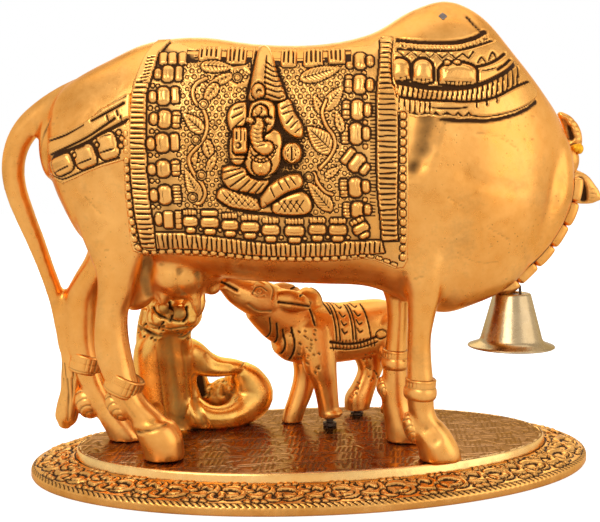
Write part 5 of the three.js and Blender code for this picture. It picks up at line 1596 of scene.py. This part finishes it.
def plate_drawing(x, y):
    """Columns of slanted strokes, thin cross lines and leaf squiggles between, cut into the plate."""
    r = Relief(x, y, 0.0)
    low_x, high_x, low_y, high_y = x[0], x[-1], y[0], y[-1]
    stir = lambda reach: rng.uniform(-reach, reach)
    for at in np.arange(-94, 95, 17):
        for start in np.arange(low_y, high_y, 9.0):
            for off in (-4.2, -2.2, -0.2, 1.8):
                r.groove([(at + off + stir(0.3), start + stir(0.6)),
                          (at + off + 2.2 + stir(0.3), start + 7 + stir(1.0))], 0.62, 0.15)
    for at in np.arange(-48, 49, 12):
        for off in (-1.6, 0.4):
            for start in np.arange(low_x, high_x, 6.0):
                r.groove([(start, at + off + stir(0.2)),
                          (start + rng.uniform(3, 5.4), at + off + stir(0.2))], 0.62, 0.12)
    for cx in np.arange(-85.5, 95, 17):
        for cy in np.arange(-42, 49, 12):
            for _ in range(4):
                px, py, lean, bend = cx + stir(4), cy + stir(3.6), rng.uniform(0.4, 2.2), stir(1.2)
                c, w = 1.9 * math.cos(lean), 2.6 * math.sin(lean)
                r.groove([(px - c, py - w), (px + bend, py - bend), (px + c, py + w)], 0.6, 0.12, 6)
    return r


def make_plate():
    """The engraved oval, from a square net drawn out to its shape."""
    across, deep = 372, 196
    u, v = np.meshgrid(np.linspace(-1, 1, across), np.linspace(-1, 1, deep))
    x = (HALF_LONG - 17.9) * u * np.sqrt(1 - v ** 2 / 2)
    y = (HALF_DEEP - 17.9) * v * np.sqrt(1 - u ** 2 / 2)
    drawing = plate_drawing(*(np.arange(-half, half, PLATE_CELL) for half in (PLATE_LONG, PLATE_DEEP)))
    h = sampled(drawing.h, (y + PLATE_DEEP) / PLATE_CELL, (x + PLATE_LONG) / PLATE_CELL)
    h = np.maximum(h, -0.34)
    edge = np.minimum(1 - np.abs(u), 1 - np.abs(v))
    h *= np.clip(edge / 0.03, 0, 1)
    bm = net(np.stack([x, y, PLATE_LEVEL + h], axis=2))
    backed(bm, (0, 0, -1.0))
    to_metres(bm)
    piece = show("base_plate", bm, PLATE_GOLD, "base")
    marks = np.zeros(len(piece.data.vertices))
    marks[:h.size] = np.clip(-h.ravel() / 0.2, 0, 0.42)
    mark(piece.data, marks)
    return piece


# ---- Bell; its wire and the calf's screws keep the solids' own shapes ----

BELL_TOP = (89.2, 8, 70.1)


def make_bell():
    """A profile of radius and level, spun into a closed shape."""
    rows = [(3, 0), (6.6, 0), (7.1, -0.2), (7.35, -0.8), (11.8, -17.4), (12.2, -18.3), (13.2, -19.2),
            (15.9, -20.1), (16.6, -20.4), (16.8, -20.8), (16.4, -21.1), (15.6, -21), (12.9, -20.2),
            (11.4, -19), (10.8, -17.4), (6.4, -1.8), (3, -1.2), (3, 0)]
    bm = bmesh.new()
    line = [bm.verts.new((radius, 0, level)) for radius, level in rows]
    edges = [bm.edges.new(pair) for pair in zip(line[:-1], line[1:])]
    bmesh.ops.spin(bm, geom=line + edges, cent=(0, 0, 0), axis=(0, 0, 1), angle=2 * math.pi, steps=96,
                   use_merge=True)
    bmesh.ops.remove_doubles(bm, verts=bm.verts, dist=1e-4)
    bmesh.ops.recalc_face_normals(bm, faces=bm.faces)
    bmesh.ops.translate(bm, verts=bm.verts, vec=BELL_TOP)
    return show("bell", gathered([bm], COW), CHAMPAGNE, "bell")


for name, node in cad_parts.items():
    small = "screw" in name or "wire" in name
    node.data.materials.clear()
    node.data.materials.append(CHAMPAGNE if name == "bell" else STEEL if small else GOLD)

cow = make_cow()
head = make_head()
child = make_child()
calf = make_calf()
cow_tree = tree_of(cow)
make_cloths(cow_tree)
make_straps(cow_tree)
make_hump_mark(cow_tree)
make_anklets()
make_dewclaws()
make_garland()
make_tuft().finish(GOLD, "cow")
make_yellow_mark()
cow.finish(GOLD, "cow")
head.finish(GOLD, "cow")
# The child's lighter gold and his lighter hollow marks are painted light against the shade under the cow
child.finish(CHILD_LIGHTENED_GOLD, "seated_child", 1.3)
calf.finish(GOLD, "calf")
make_base()
make_plate()
make_bell()


# ---- Camera, floor and light ----

def studio():
    """The photograph's viewpoint, a pale floor, four soft lamps and a pale sky."""
    camera_data = bpy.data.cameras.new("camera")
    camera = bpy.data.objects.new("camera", camera_data)
    scene.collection.objects.link(camera)
    eye, aim = Vector((-72.4, -391.9, 116.3)) * MM, Vector((-6.8, 0, 81.5)) * MM
    camera.location = eye
    camera.rotation_euler = (aim - eye).to_track_quat("-Z", "Y").to_euler()
    camera_data.sensor_width = 36
    camera_data.lens = 60
    camera_data.clip_start = 0.01
    scene.camera = camera

    bm = bmesh.new()
    bmesh.ops.create_grid(bm, x_segments=1, y_segments=1, size=2.5)
    floor = piece_of("floor", bm)
    paper = bpy.data.materials.new("floor paper")
    paper.use_nodes = True
    shader = paper.node_tree.nodes["Principled BSDF"]
    shader.inputs["Base Color"].default_value = (0.72, 0.715, 0.71, 1)
    shader.inputs["Roughness"].default_value = 0.8
    shader.inputs["Specular IOR Level"].default_value = 0.1
    shader.inputs["Emission Color"].default_value = (1, 0.995, 0.99, 1)
    seen = paper.node_tree.nodes.new("ShaderNodeLightPath").outputs["Is Camera Ray"]
    glow = paper.node_tree.nodes.new("ShaderNodeMath")
    glow.operation = "MULTIPLY"
    glow.inputs[1].default_value = 0.75
    paper.node_tree.links.new(seen, glow.inputs[0])
    paper.node_tree.links.new(glow.outputs[0], shader.inputs["Emission Strength"])
    floor.data.materials.append(paper)

    def lamp(name, place, aim, size, power, colour=(1, 1, 1)):
        data = bpy.data.lights.new(name, "AREA")
        data.shape, data.size, data.size_y = "RECTANGLE", *size
        data.energy, data.color = power, colour
        item = bpy.data.objects.new(name, data)
        item.location = place
        item.rotation_euler = (Vector(aim) - Vector(place)).to_track_quat("-Z", "Y").to_euler()
        scene.collection.objects.link(item)

    lamp("key", (-0.5, -0.75, 0.7), (0, 0, 0.08), (0.55, 0.55), 3.4)
    lamp("fill", (0.8, -0.6, 0.35), (0, 0, 0.08), (0.9, 0.8), 2.2)
    lamp("top", (0, 0.1, 0.95), (0, 0, 0.05), (1.3, 0.9), 3.45)
    lamp("back", (0.2, 0.9, 0.6), (0, 0, 0.08), (0.9, 0.5), 2)

    world = bpy.data.worlds.new("studio")
    scene.world = world
    world.use_nodes = True
    tree = world.node_tree
    new, link = nodes_of(tree), tree.links.new
    up = new("ShaderNodeSeparateXYZ")
    link(new("ShaderNodeTexCoord").outputs["Generated"], up.inputs[0])
    sky = new("ShaderNodeValToRGB")
    stops = ((0.0, 0.3), (0.47, 0.6), (0.5, 1.0), (0.62, 0.92), (1.0, 0.55))
    bar = sky.color_ramp.elements
    while len(bar) < len(stops):
        bar.new(0.5)
    for stop, (height, grey) in zip(bar, stops):
        stop.position, stop.color = height, (grey, grey, grey, 1)
    half = new("ShaderNodeMapRange", in_1=-1.0, in_2=1.0)
    link(up.outputs["Z"], half.inputs[0])
    link(half.outputs[0], sky.inputs[0])
    seen = new("ShaderNodeMix", data_type="RGBA", in_7=(1, 1, 1, 1))
    link(new("ShaderNodeLightPath").outputs["Is Camera Ray"], seen.inputs["Factor"])
    link(sky.outputs[0], seen.inputs[6])
    link(seen.outputs[2], tree.nodes["Background"].inputs["Color"])
    scene.view_settings.view_transform = "Standard"
    scene.view_settings.look = "None"


studio()
